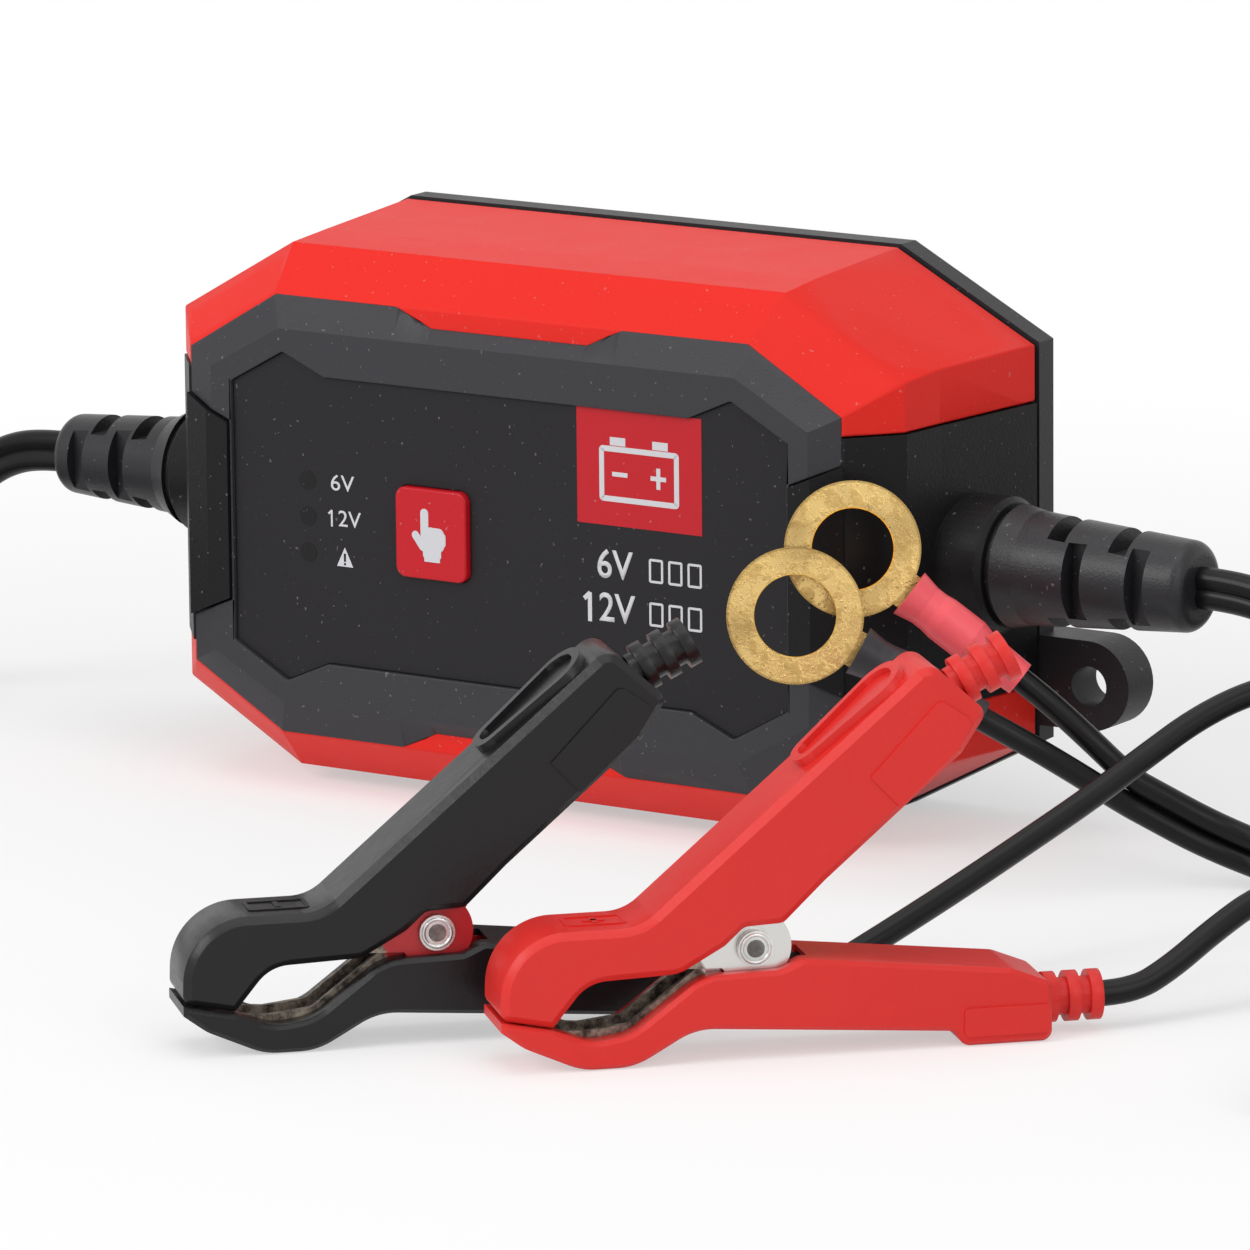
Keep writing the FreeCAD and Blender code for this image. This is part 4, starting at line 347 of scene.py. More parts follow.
# %% Ring terminal leads
ring_twin = [
    (90.5, 12, -27), (95.4, 15.8, -30.6), (100.9, 18.4, -33.2), (107.4, 18.2, -34.45), (114.4, 16.2, -34.45),
    (121, 14, -34.45), (127.6, 12.4, -34.45)]
ring_way = (Vector(ring_twin[1]) - Vector(ring_twin[0])).normalized()
ring_low, ring_high = beside(ring_twin, -CORE_HALF), beside(ring_twin, CORE_HALF)
red_ring_end, red_ring_way = Vector((74.619, 5.839, -11.292)), Vector((0.7176, 0.336, -0.61))
black_ring_end, black_ring_way = Vector((73.685, -2.16, -15.065)), Vector((0.7752, 0.4059, -0.484))
red_ring_route = [
    tuple(red_ring_end), tuple(red_ring_end + red_ring_way * 4.4), (83.6, 8.2, -18.6),
    tuple(Vector(ring_high[0]) - ring_way * 4.2)] + ring_high
black_ring_route = [
    tuple(black_ring_end), tuple(black_ring_end + black_ring_way * 4.6), (80.6, 2.2, -19.8), (85.2, 6.6, -24),
    tuple(Vector(ring_low[0]) - ring_way * 2.6)] + ring_low
red_ring_cord = core("red_ring_core", red_ring_route, ["red_ring_lead"])
black_ring_cord = core(
    "black_ring_core", black_ring_route, ["black_ring_lead", "ring_twin_lead"])
for profile in (mains_section, output_section, core_section):
    bpy.data.objects.remove(profile)
print("six cords")

# %% [markdown]
# A finish is a small tree of shader nodes. Writing each node by hand is long, so one class wraps a
# socket and turns Python's operators into Math nodes, and another adds any other node in one call:
# its kind, its settings, then the values or links of its sockets.

# %% Shader maths in Python
class Value:
    """A number that a node gives. Operators on it add Math nodes."""

    def __init__(self, finish, socket):
        self.finish = finish
        self.socket = socket

    def math(self, operation, first, second):
        """One Math node on two numbers or values."""
        return self.finish.node("ShaderNodeMath", {"operation": operation}, {0: first, 1: second})

    def __add__(self, other):
        return self.math("ADD", self, other)

    def __rsub__(self, other):
        return self.math("SUBTRACT", other, self)

    def __mul__(self, other):
        return self.math("MULTIPLY", self, other)

    __radd__ = __add__
    __rmul__ = __mul__


class Finish:
    """A material with one Principled shader and short ways to feed it."""

    def __init__(self, name, **fixed):
        self.material = bpy.data.materials.new(name)
        self.material.use_nodes = True
        self.tree = self.material.node_tree
        self.tree.nodes.clear()
        self.shader = self.tree.nodes.new("ShaderNodeBsdfPrincipled")
        self.end = self.tree.nodes.new("ShaderNodeOutputMaterial")
        self.tree.links.new(self.shader.outputs[0], self.end.inputs[0])
        self.point = self.node("ShaderNodeTexCoord", output="Object")
        for socket, value in fixed.items():
            self.feed(socket.replace("_", " ").title().replace("Ior", "IOR"), value)

    def node(self, kind, settings=None, inputs=None, output=0):
        """Adds a node, with its settings and what goes into its sockets."""
        made = self.tree.nodes.new(kind)
        for name, value in (settings or {}).items():
            setattr(made, name, value)
        for name, value in (inputs or {}).items():
            if isinstance(value, Value):
                self.tree.links.new(value.socket, made.inputs[name])
            else:
                made.inputs[name].default_value = value
        return Value(self, made.outputs[output])

    def feed(self, socket, value):
        """Sets a socket of the Principled shader, or links a value to it."""
        if isinstance(value, Value):
            self.tree.links.new(value.socket, self.shader.inputs[socket])
        else:
            self.shader.inputs[socket].default_value = value

    def noise(self, scale, detail=2.0, rough=0.5, point=None):
        """Cloudy noise, from 0 to 1, with so many cells a metre."""
        return self.node("ShaderNodeTexNoise", None, {
            "Vector": point or self.point, "Scale": scale, "Detail": detail, "Roughness": rough})

    def stretched(self, scale):
        """The place on the piece, drawn out along its axes."""
        return self.node("ShaderNodeMapping", None, {"Vector": self.point, "Scale": scale})

    def blend(self, share, first, second):
        """A colour between two."""
        return self.node("ShaderNodeMix", {"data_type": "RGBA"}, {
            0: share, 6: first, 7: second}, output=2)

    def between(self, value, low, high):
        """0 below the low bound and 1 above the high one, soft between."""
        return self.node("ShaderNodeMapRange", {"interpolation_type": "SMOOTHSTEP"}, {
            "Value": value, "From Min": low, "From Max": high})

    def bump(self, height, depth):
        """Relief of that depth in metres."""
        self.feed("Normal", self.node("ShaderNodeBump", None, {"Height": height, "Distance": depth}))

    def distance(self, centre):
        """How far a place is from a point, in metres."""
        return self.node("ShaderNodeVectorMath", {"operation": "DISTANCE"}, {
            0: self.point, 1: centre}, output="Value")


def ink(red, green, blue):
    """A colour picked from a picture, 0 to 255, as the linear colour that a shader wants."""
    tones = [tone / 255 for tone in (red, green, blue)]
    return (*[t / 12.92 if t <= 0.04045 else ((t + 0.055) / 1.055) ** 2.4 for t in tones], 1)


def shade(colour, factor):
    """The same colour, lighter or darker."""
    return (*[min(channel * factor, 1) for channel in colour[:3]], 1)


print("mid grey in linear light", [round(c, 3) for c in ink(128, 128, 128)])

# %% [markdown]
# Moulded plastic is never one flat colour. Its skin has a fine grain left by the tool, its gloss
# wanders a little, the pigment has faint flow marks, and here and there sits a speck of dust. Each of
# these is a noise of its own size: the grain in the bump, the gloss in the roughness, the flow and
# the specks in the colour.

# %% Moulded plastics
DUST, DUST_SHARE, DUST_EDGE = ink(190, 184, 184), 0.2, (0.71, 0.76)


def moulded(name, colour, rough, grain, depth, flow=0.06, stretch=(1, 1, 1), **fixed):
    """Moulded plastic. The grain is its cells a metre, the depth is in metres."""
    finish = Finish(name, **{"specular_ior_level": 0.25, **fixed})
    drift = finish.noise(28, 3, 0.55, finish.stretched(stretch))
    tone = finish.blend(drift, shade(colour, 1 - flow), shade(colour, 1 + flow))
    specks = finish.between(finish.noise(1500, 2, 0.4), *DUST_EDGE)
    finish.feed("Base Color", finish.blend(specks * DUST_SHARE, tone, DUST))
    finish.feed("Roughness", finish.noise(160, 2) * 0.1 + (rough - 0.05))
    finish.bump(finish.noise(grain, 3, 0.6), depth)
    return finish


shell_red = moulded(
    "shell_red", ink(228, 46, 38), 0.42, 2600, 0.00003, 0.05, (0.4, 1, 2.2), specular_ior_level=0.1)
bezel_black = moulded("bezel_black", ink(54, 54, 58), 0.44, 3200, 0.00004)
end_black = moulded("end_black", ink(24, 23, 25), 0.42, 2400, 0.00005, specular_ior_level=0.15)
cover_black = moulded("cover_black", ink(38, 37, 40), 0.46, 2600, 0.00005)
plug_black = moulded("plug_black", ink(36, 35, 38), 0.42, 2600, 0.00004)
button_red = moulded("button_red", ink(194, 22, 34), 0.34, 2200, 0.00002, 0.04)
relief_black = moulded("relief_rubber", ink(36, 35, 38), 0.36, 3000, 0.00005, 0.08, specular_ior_level=0.35)
seal_black = moulded("seal_rubber", ink(40, 40, 42), 0.7, 2600, 0.00004)
switch_black = moulded("switch_black", ink(42, 42, 44), 0.4, 2400, 0.00003)
board_green = moulded("board_green", ink(34, 112, 74), 0.35, 900, 0.00004, 0.12)
can_blue = moulded("can_sleeve", ink(62, 74, 96), 0.3, 900, 0.00002)
ferrite_grey = moulded("ferrite_grey", ink(88, 88, 92), 0.6, 1800, 0.00008, 0.14)
print("twelve moulded finishes")

# %% [markdown]
# The clamps' covers are dipped soft vinyl. It is smoother than the case, has a broad soft shine and
# a faint orange peel, and it picks up small scuffs where the covers rub.

# %% Soft vinyl
def vinyl(name, colour, rough):
    """Dipped soft vinyl, scuffed a little."""
    finish = Finish(name, specular_ior_level=0.3)
    peel = finish.noise(420, 2, 0.5)
    scuffs = finish.between(finish.noise(90, 5, 0.7, finish.stretched((1, 1, 3))), 0.56, 0.74)
    tone = finish.blend(finish.noise(40, 3), shade(colour, 0.93), shade(colour, 1.07))
    finish.feed("Base Color", finish.blend(scuffs * 0.12, tone, shade(colour, 1.3)))
    finish.feed("Roughness", scuffs * 0.1 + peel * 0.08 + (rough - 0.04))
    finish.bump(peel + finish.noise(2400, 2) * 0.35, 0.00006)
    return finish


clamp_red = vinyl("clamp_red", ink(216, 45, 40), 0.4)
clamp_black = vinyl("clamp_black", ink(23, 22, 24), 0.33)
print("two vinyls")

# %% [markdown]
# The front label is a printed film set into the bezel. It is matt, with a very fine even texture,
# and nearly the same charcoal as the plastic round it. The three lights behind it are clear resin,
# coloured nearly as dark as the film: a painted shade of the closed case behind them.

# %% Label film and lights
label_film = moulded("label_print", ink(33, 31, 34), 0.42, 5200, 0.00002, 0.03, specular_ior_level=0.2)
window_film = moulded("window_film", ink(25, 23, 25), 0.4, 5200, 0.00002, 0.03, specular_ior_level=0.2)
light_lens = Finish("light_lens", specular_ior_level=0.3, roughness=0.25)
# Dark resin colour with a faint cloud: painted shade of the case inside.
lens_painted_shade = light_lens.noise(700, 2)
light_lens.feed("Base Color", light_lens.blend(lens_painted_shade, ink(24, 22, 23), ink(36, 33, 33)))
print("label and lights")

# %% [markdown]
# The leads have a smooth sheath. Drawn through a die, it keeps fine lines along its length and a
# slow waviness, which the light picks up. The curve's own UV map runs along and round the lead,
# so the lines follow every bend.

# %% Sheath of the leads
def sheath(name, colour, rough):
    """A lead's sheath, with fine lines along it."""
    finish = Finish(name, specular_ior_level=0.2)
    along = finish.node("ShaderNodeTexCoord", output="UV")
    drawn = finish.node("ShaderNodeMapping", None, {"Vector": along, "Scale": (2, 24, 1)})
    lines = finish.node("ShaderNodeTexNoise", None, {"Vector": drawn, "Scale": 1.5, "Detail": 3})
    waves = finish.noise(110, 2)
    finish.feed("Base Color", finish.blend(waves, shade(colour, 0.88), shade(colour, 1.14)))
    finish.feed("Roughness", waves * 0.12 + (rough - 0.06))
    finish.bump(lines * 0.6 + waves, 0.00008)
    return finish


cord_black = sheath("cord_black", ink(17, 16, 17), 0.3)
print("sheath")

# %% [markdown]
# Metals take their colour from what they reflect. Drawn and rolled metal has a long fine grain,
# which goes into the gloss, and thin clouds of tarnish change both its colour and its gloss.

# %% Metals
def metal(name, bright, dull, rough, stain=0.5, grain=(1, 1, 6)):
    """Drawn or rolled metal, from bright to dull where it is tarnished."""
    finish = Finish(name, metallic=1.0)
    clouds = finish.between(finish.noise(230, 5, 0.65), stain - 0.14, stain + 0.16)
    rolled = finish.noise(900, 3, 0.6, finish.stretched(grain))
    finish.feed("Base Color", finish.blend(clouds, bright, dull))
    finish.feed("Roughness", clouds * 0.12 + rolled * 0.12 + (rough - 0.1))
    finish.bump(rolled + clouds * 0.6, 0.000012)
    return finish


screw_steel = metal("screw_steel", ink(190, 190, 192), ink(150, 150, 152), 0.32)
sink_metal = metal("sink_aluminium", ink(214, 215, 218), ink(190, 191, 194), 0.36)
pin_nickel = metal("pin_nickel", ink(214, 212, 206), ink(190, 188, 182), 0.2)
contact_brass = metal("contact_brass", ink(222, 190, 116), ink(196, 160, 92), 0.28)
winding_copper = metal("copper_winding", ink(206, 128, 84), ink(160, 92, 58), 0.34, 0.5, (1, 1, 14))
rivet_steel = metal("rivet_steel", ink(222, 222, 220), ink(196, 196, 194), 0.24)
print("metals")

# %% [markdown]
# Inside the clamps' mouths the steel is dull and brown, while the ear round the pivot is bright on
# one clamp and flat red on the other, a painted reflection, so the finish is mixed by how far a
# place is from the ear's middle. Stamped brass shows stains, finger marks and small dents, and broad
# darker patches on it are painted reflections. A ring's hole and its outer edge are told from its
# faces in the same way, and the hole's wall of the red ring gets a painted orange reflection.

# %% Clamp jaws and ring terminals
PIVOTS = {"red": spot(91.2, -85.2, -24.45), "black": spot(54.1, -98.4, -24.45)}
EAR_MIDDLE, EAR_EDGE = Vector((1.0, 1.1, 2.5)), (0.0094, 0.0098)
STRIP_METAL, STRIP_ROUGH = 0.75, 0.5
HOLE_EDGE, OUTER_EDGE = (0.0053, 0.00545), (0.0084, 0.0087)


def jaw_finish(colour, ear, ear_metal, ear_rough):
    """Dull brown strip in the mouth, and the ear's colour within 9 mm of its middle, on the black clamp a
    painted red reflection.
    """
    finish = Finish(colour + "_jaw_steel")
    clouds = finish.noise(520, 6, 0.7)
    strip = finish.blend(finish.between(clouds, 0.35, 0.68), ink(60, 50, 42), ink(168, 156, 142))
    near = 1 - finish.between(finish.distance(PIVOTS[colour] + EAR_MIDDLE * MM), *EAR_EDGE)
    finish.feed("Base Color", finish.blend(near, strip, ear))
    finish.feed("Metallic", near * (ear_metal - STRIP_METAL) + STRIP_METAL)
    finish.feed("Roughness", near * (ear_rough - STRIP_ROUGH) + STRIP_ROUGH)
    finish.bump(clouds * (1 - near * 0.8), 0.00012)
    return finish


# The black clamp's ear is flat red, not metal: a painted reflection.
jaws = {"red": jaw_finish("red", ink(214, 213, 210), 1.0, 0.26),
        "black": jaw_finish("black", ink(196, 34, 40), 0.0, 0.32)}


def ring_finish(colour, centre, wall_colour_and_reflection):
    """Stamped brass with stains, dents and broad painted reflections. The wall colour goes on the hole's
    wall: a painted orange reflection on the red ring, a deeper brass on the black one.
    """
    finish = Finish(colour + "_ring_brass", metallic=1.0)
    stains = finish.between(finish.noise(520, 6, 0.68), 0.44, 0.62)
    specks = finish.between(finish.noise(2000, 3, 0.6), 0.6, 0.7)
    face = finish.blend(stains, ink(226, 194, 126), ink(200, 168, 104))
    face = finish.blend(specks * 0.4, face, ink(126, 100, 62))
    # Broad darker olive patches stand in for reflections: painted reflections.
    painted_reflections = finish.between(finish.noise(120, 3), 0.4, 0.64)
    face = finish.blend(painted_reflections * 0.55, face, ink(158, 128, 80))
    # The hole's wall takes the given colour, on the red ring a painted orange reflection.
    wall = 1 - finish.between(finish.distance(centre), *HOLE_EDGE)
    rim = finish.between(finish.distance(centre), *OUTER_EDGE)
    face = finish.blend(rim * 0.5, face, ink(126, 98, 48))
    finish.feed("Base Color", finish.blend(wall, face, wall_colour_and_reflection))
    finish.feed("Roughness", stains * 0.14 + specks * 0.2 + 0.22)
    finish.bump(stains * 0.5 + specks + finish.noise(3000, 2) * 0.3, 0.00005)
    return finish


rings = {"red": ring_finish("red", spot(55.1, -3.3, 5.3), ink(246, 166, 30)),
         "black": ring_finish("black", spot(52.6, -13.2, -1.9), ink(214, 170, 80))}
sleeves = {"red": vinyl("sleeve_red", ink(246, 96, 104), 0.36),
           "black": vinyl("sleeve_black", ink(50, 47, 51), 0.42)}
fuse_glass = Finish("fuse_glass", transmission_weight=0.85, roughness=0.05, ior=1.47)
fuse_glass.feed("Base Color", fuse_glass.blend(fuse_glass.noise(200), ink(232, 240, 240), ink(220, 230, 232)))
print("jaws, rings, sleeves and fuse")

# %% [markdown]
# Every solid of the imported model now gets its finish. The table below reads like a parts list: a
# finish, then the solids that wear it. The cords wear the sheath.

# %% Which solid has which finish
FINISHES = {
    shell_red: ["red_shell"], bezel_black: ["front_bezel"], end_black: ["end_plate_left", "end_plate_right"],
    cover_black: ["back_cover"], label_film: ["front_label"], button_red: ["mode_button"],
    switch_black: ["button_switch", "switch_plunger", "controller_chip", "power_transistor"],
    light_lens: ["indicator_lights"], seal_black: ["case_seal"], board_green: ["circuit_board"],
    screw_steel: ["case_screws", "board_screws", "red_spring", "black_spring"],
    ferrite_grey: ["transformer_core", "output_choke"], winding_copper: ["transformer_winding"],
    can_blue: ["supply_capacitor", "output_capacitor"], sink_metal: ["heat_sink"], fuse_glass: ["input_fuse"],
    relief_black: ["mains_strain_relief", "output_strain_relief"],
    plug_black: ["mains_plug", "output_connector", "clamp_connector", "ring_connector"],
    pin_nickel: ["plug_pins"], contact_brass: ["output_contacts", "clamp_contacts", "ring_contacts"],
    clamp_red: ["red_upper_cover", "red_lower_cover"],
    clamp_black: ["black_upper_cover", "black_lower_cover"],
    jaws["red"]: ["red_upper_jaw", "red_lower_jaw"], jaws["black"]: ["black_upper_jaw", "black_lower_jaw"],
    rivet_steel: ["red_pivot_rivet", "black_pivot_rivet"],
    rings["red"]: ["red_ring_terminal"], rings["black"]: ["black_ring_terminal"],
    sleeves["red"]: ["red_ring_sleeve"], sleeves["black"]: ["black_ring_sleeve"],
    cord_black: [name for name in nodes if name.endswith(("_cord", "_coil", "_lead"))]}


def wear(piece, finish):
    """Gives a piece its finish in every slot it has."""
    if not piece.material_slots:
        piece.data.materials.append(finish.material)
    for place in piece.material_slots:
        place.material = finish.material


for finish, names in FINISHES.items():
    for name in names:
        wear(nodes[name], finish)
cords = [mains_cord, output_cord, black_clamp_cord, red_clamp_cord, red_ring_cord, black_ring_cord]
for piece in cords:
    wear(piece, cord_black)
dressed = [name for names in FINISHES.values() for name in names]
print("without a finish:", sorted(set(nodes) - set(dressed)))

# %% [markdown]
# Plastic parts never have knife edges, so the ones in sight also get a small round: the loose
# triangles are welded and sharp edges are bevelled, live, which leaves the solid itself as it is.
# The bezel and the shell have very short edges beside long ones, and a bevel that is held back by
# the shortest one would vanish, so theirs isn't held back.

# %% Small rounds on moulded edges
LONG_EDGES = ("front_bezel", "red_shell")
WELD_REACH = 0.00001
SHARP_ANGLE = math.radians(38)


def soften(name, width):
    """Welds a solid's loose triangles and rounds its sharp edges by so many millimetres."""
    weld = nodes[name].modifiers.new("weld", "WELD")
    weld.merge_threshold = WELD_REACH
    round_edges = nodes[name].modifiers.new("round", "BEVEL")
    round_edges.width = width * MM
    round_edges.segments = 2
    round_edges.use_clamp_overlap = name not in LONG_EDGES
    round_edges.limit_method = "ANGLE"
    round_edges.angle_limit = SHARP_ANGLE
    round_edges.harden_normals = True


ROUNDS = {
    0.35: ["red_shell", "end_plate_left", "end_plate_right"], 0.25: ["front_bezel"],
    0.15: ["mode_button"], 0.2: ["mains_plug", "output_connector", "clamp_connector", "ring_connector"],
    0.4: ["red_upper_cover", "red_lower_cover", "black_upper_cover", "black_lower_cover"],
    0.22: ["red_pivot_rivet", "black_pivot_rivet"]}
for width, names in ROUNDS.items():
    for name in names:
        soften(name, width)
print("rounded", sum(len(names) for names in ROUNDS.values()), "solids")

# %% [markdown]
# The marks on the front are printed, so they are thin flat shapes that stand a hair proud of the
# film. Each is drawn flat with bmesh tiles whose corners are bevelled, then given a thickness and
# stood up. The block at the upper right holds a plain battery sign.

# %% Helpers for printed marks
LAYER = 0.006


def tile(sketch, x, y, wide, high, round_corner=0.0, turn=0.0):
    """A rectangle with rounded corners, flat, in millimetres."""
    made = bmesh.ops.create_grid(sketch, x_segments=1, y_segments=1, size=0.5)
    corners = made["verts"]
    spin = Matrix.Rotation(math.radians(turn), 3, "Z")
    bmesh.ops.scale(sketch, vec=(wide, high, 1), verts=corners)
    bmesh.ops.rotate(sketch, cent=(0, 0, 0), matrix=spin, verts=corners)
    bmesh.ops.translate(sketch, vec=(x, y, 0), verts=corners)
    if round_corner:
        corners = bmesh.ops.bevel(
            sketch, geom=corners, offset=round_corner, affect="VERTICES", segments=5, profile=0.5,
            material=-1)["verts"]
    return corners[0].link_faces[0]


def frame_of(sketch, face, thick):
    """Leaves only a rim of a tile."""
    bmesh.ops.inset_region(sketch, faces=[face], thickness=thick, use_boundary=True, use_even_offset=True)
    bmesh.ops.delete(sketch, geom=[face], context="FACES")


def raise_from(sketch, thick, turn, place):
    """Gives flat shapes a thickness, turns them and sets them down in the model."""
    made = bmesh.ops.extrude_face_region(sketch, geom=sketch.faces[:])
    raised = [item for item in made["geom"] if isinstance(item, bmesh.types.BMVert)]
    bmesh.ops.translate(sketch, vec=(0, 0, thick), verts=raised)
    bmesh.ops.recalc_face_normals(sketch, faces=sketch.faces[:])
    bmesh.ops.rotate(sketch, cent=(0, 0, 0), matrix=turn, verts=sketch.verts[:])
    bmesh.ops.scale(sketch, vec=(MM, MM, MM), verts=sketch.verts[:])
    bmesh.ops.translate(sketch, vec=place, verts=sketch.verts[:])


def stand_up(sketch, front, thick):
    """Stands flat shapes on the case front, facing the viewer."""
    raise_from(sketch, thick, Matrix.Rotation(math.pi / 2, 3, "X"), spot(0, front, 0))


def finish_piece(name, sketch, finish, body):
    """Turns a sketch into a piece that moves with a body of the model."""
    mesh = bpy.data.meshes.new(name)
    sketch.to_mesh(mesh)
    sketch.free()
    piece = show(name, mesh)
    wear(piece, finish)
    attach(piece, body)
    print(name, len(mesh.polygons), "faces")


def letters(sketch, text, x, y, size, wide, bold=0.0):
    """Plain numbers and signs, set flat round the point."""
    data = bpy.data.curves.new(text, "FONT")
    data.body = text
    data.size = size
    data.offset = bold
    data.align_x = "CENTER"
    data.align_y = "CENTER"
    data.resolution_u = 4
    mesh = as_mesh(text, data)
    mesh.transform(Matrix.Translation((x, y, 0)) @ Matrix.Diagonal((wide, 1, 1, 1)))
    sketch.from_mesh(mesh)


def figure_one(sketch, x, y, size, thick):
    """A plain figure one: a stem and a short flag, as tall as text of that size."""
    tall = size * 0.72
    tile(sketch, x, y, thick, tall)
    flag = tile(sketch, x - size * 0.075, y + tall / 2 - size * 0.09, thick, size * 0.24, 0, -48)
    bmesh.ops.translate(sketch, vec=(0, 0, LAYER), verts=flag.verts[:])


# %% Printed block and marks
LABEL_FRONT = -0.9
PRINT = 0.04
print_red = moulded("print_red", ink(190, 28, 38), 0.4, 5200, 0.00001, 0.03)
print_white = moulded("print_white", ink(208, 208, 212), 0.45, 5200, 0.00001, 0.03)
block = bmesh.new()
tile(block, 20.9, 11.75, 19.4, 15.5)
stand_up(block, LABEL_FRONT, PRINT)
finish_piece("label_block", block, print_red, "charger")
sign = bmesh.new()
frame_of(sign, tile(sign, 20.9, 10.9, 12.4, 7.4, 0.6), 0.75)
for x in (17.6, 24.2):
    tile(sign, x, 15.25, 2.4, 1.1)
tile(sign, 17.9, 10.9, 2.4, 0.6)
tile(sign, 23.9, 10.9, 2.4, 0.6)
tile(sign, 23.9, 11.75, 0.6, 1.1)
tile(sign, 23.9, 10.05, 0.6, 1.1)
stand_up(sign, LABEL_FRONT - PRINT, PRINT / 2)
finish_piece("battery_sign", sign, print_white, "charger")

# %% [markdown]
# Beside the lights and below the block stand only plain numbers, as the voltages, and charge bars.
# Text gives the numbers, and the figure one is drawn with two tiles, a stem and a short flag.

# %% Mode marks and charge bars
marks = bmesh.new()
letters(marks, "6V", -26.4, 5.2, 3.1, 1.15)
letters(marks, "2V", -25.3, 0.4, 3.1, 1.1)
figure_one(marks, -28.15, 0.4, 3.1, 0.28)
letters(marks, "6V", 16.9, -1.4, 5.4, 0.95, 0.06)
letters(marks, "2V", 17.2, -7.2, 5.4, 0.95, 0.06)
figure_one(marks, 13.0, -7.2, 5.4, 0.62)
for row in (-1.4, -7.2):
    for column in range(3):
        frame_of(marks, tile(marks, 23.4 + column * 3, row, 2.2, 3.2, 0.3), 0.32)
stand_up(marks, LABEL_FRONT, PRINT)
finish_piece("label_marks", marks, print_white, "charger")

# %% [markdown]
# The film runs on over the three lights, so each shows only as a slightly darker round window.

# %% Windows over the lights
LIGHTS_X, FIRST_LIGHT, LIGHT_PITCH = -32, 5.2, 4.9
windows = bmesh.new()
for row in range(3):
    turn = Matrix.Translation((LIGHTS_X, FIRST_LIGHT - row * LIGHT_PITCH, 0))
    bmesh.ops.create_circle(windows, cap_ends=True, segments=48, radius=1.3, matrix=turn)
stand_up(windows, LABEL_FRONT, PRINT)
finish_piece("light_windows", windows, window_film, "charger")

# %% [markdown]
# The lowest light shows a fault, so its mark is a plain triangle with a stroke and a dot left open.
# The hand on the button is a few rounded bars: a finger, the palm, three knuckles, a thumb, the
# heel of the hand and a cuff. Each bar stands a hair above the one before, so that no two share a
# face.

# %% Fault mark and hand
fault = bmesh.new()
bmesh.ops.create_circle(fault, cap_ends=True, segments=3, radius=1.75)
bmesh.ops.scale(fault, vec=(0.86, 1, 1), verts=fault.verts[:])
bmesh.ops.translate(fault, vec=(-26.1, -5.1, 0), verts=fault.verts[:])
stand_up(fault, LABEL_FRONT, PRINT)
finish_piece("fault_mark", fault, print_white, "charger")
stroke = bmesh.new()
tile(stroke, -26.1, -4.75, 0.34, 1.1)
tile(stroke, -26.1, -5.62, 0.34, 0.3)
stand_up(stroke, LABEL_FRONT - PRINT, PRINT / 2)
finish_piece("fault_stroke", stroke, label_film, "charger")
HAND = (
    (-12.5, 1.35, 1.25, 4.2, 0.6, 0), (-11.25, -0.6, 3.7, 3.2, 0.8, 0), (-11.45, 0.1, 0.95, 1.9, 0.45, 0),
    (-10.45, -0.15, 0.95, 1.9, 0.45, 0), (-9.6, -0.55, 0.95, 1.9, 0.45, 0),
    (-13.35, -0.95, 1.15, 3.0, 0.55, 38), (-11.3, -2.3, 2.9, 1.9, 0.5, 0), (-11.3, -3.2, 2.5, 0.9, 0.1, 0))
hand = bmesh.new()
for layer, shape in enumerate(HAND):
    bar = tile(hand, *shape)
    bmesh.ops.translate(hand, vec=(0, 0, layer * LAYER), verts=bar.verts[:])
button_front = (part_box("mode_button")[0][1] - CASE_SPOT.y * MM) / MM
stand_up(hand, button_front, PRINT)
finish_piece("button_hand", hand, print_white, "button")

# %% [markdown]
# On the flat of each clamp's nose a small frame is moulded, with a plus on the red clamp and a minus
# on the black one. It lies level, so it is drawn flat, turned with the clamp and set on its nose.

# %% Polarity frames on the clamps
NOSE_TOP, BADGE_THICK, BADGE_SUNK = 3.5, 0.22, 0.02
for colour, finish in (("red", clamp_red), ("black", clamp_black)):
    badge = bmesh.new()
    frame_of(badge, tile(badge, -18.9, 0, 7.6, 4.6, 0.5), 0.5)
    tile(badge, -18.9, 0, 0.7, 2.6)
    if colour == "red":
        tile(badge, -18.9, 0, 2.6, 0.7)
    nose = PIVOTS[colour] + Vector((0, 0, (NOSE_TOP - BADGE_SUNK) * MM))
    raise_from(badge, BADGE_THICK, Matrix.Rotation(CLAMP_TURN, 3, "Z"), nose)
    finish_piece(colour + "_badge", badge, finish, colour + "_clamp_arm")

# %% [markdown]
# Each pivot rivet has a rolled head: a raised rim round a shallow dimple, on both sides of the
# clamp. The rim is a small circle spun once about the rivet, and the dimple is a very low cylinder
# in darker steel, a painted shade of the hollow.

# %% Rivet heads
RIM_RADIUS, RIM_THICK, RIM_STEPS, WIRE_STEPS = 1.7, 0.24, 48, 10
DIMPLE_RADIUS, DIMPLE_THICK = 1.1, 0.04
# The dimple's darker steel is painted shade of the hollow.
dimple_shade = metal("dimple_shade", ink(150, 148, 146), ink(96, 92, 90), 0.3)


def rim_mesh():
    """A ring of round wire, flat round the origin."""
    wire = bmesh.new()
    stand = Matrix.Translation((0, RIM_RADIUS * MM, 0)) @ Matrix.Rotation(math.pi / 2, 4, "Y")
    bmesh.ops.create_circle(wire, segments=WIRE_STEPS, radius=RIM_THICK * MM, matrix=stand)
    bmesh.ops.spin(
        wire, geom=wire.verts[:] + wire.edges[:], cent=(0, 0, 0), axis=(0, 0, 1), angle=math.tau,
        steps=RIM_STEPS, use_merge=True)
    bmesh.ops.recalc_face_normals(wire, faces=wire.faces[:])
    ring = bpy.data.meshes.new("rim")
    wire.to_mesh(ring)
    wire.free()
    return ring


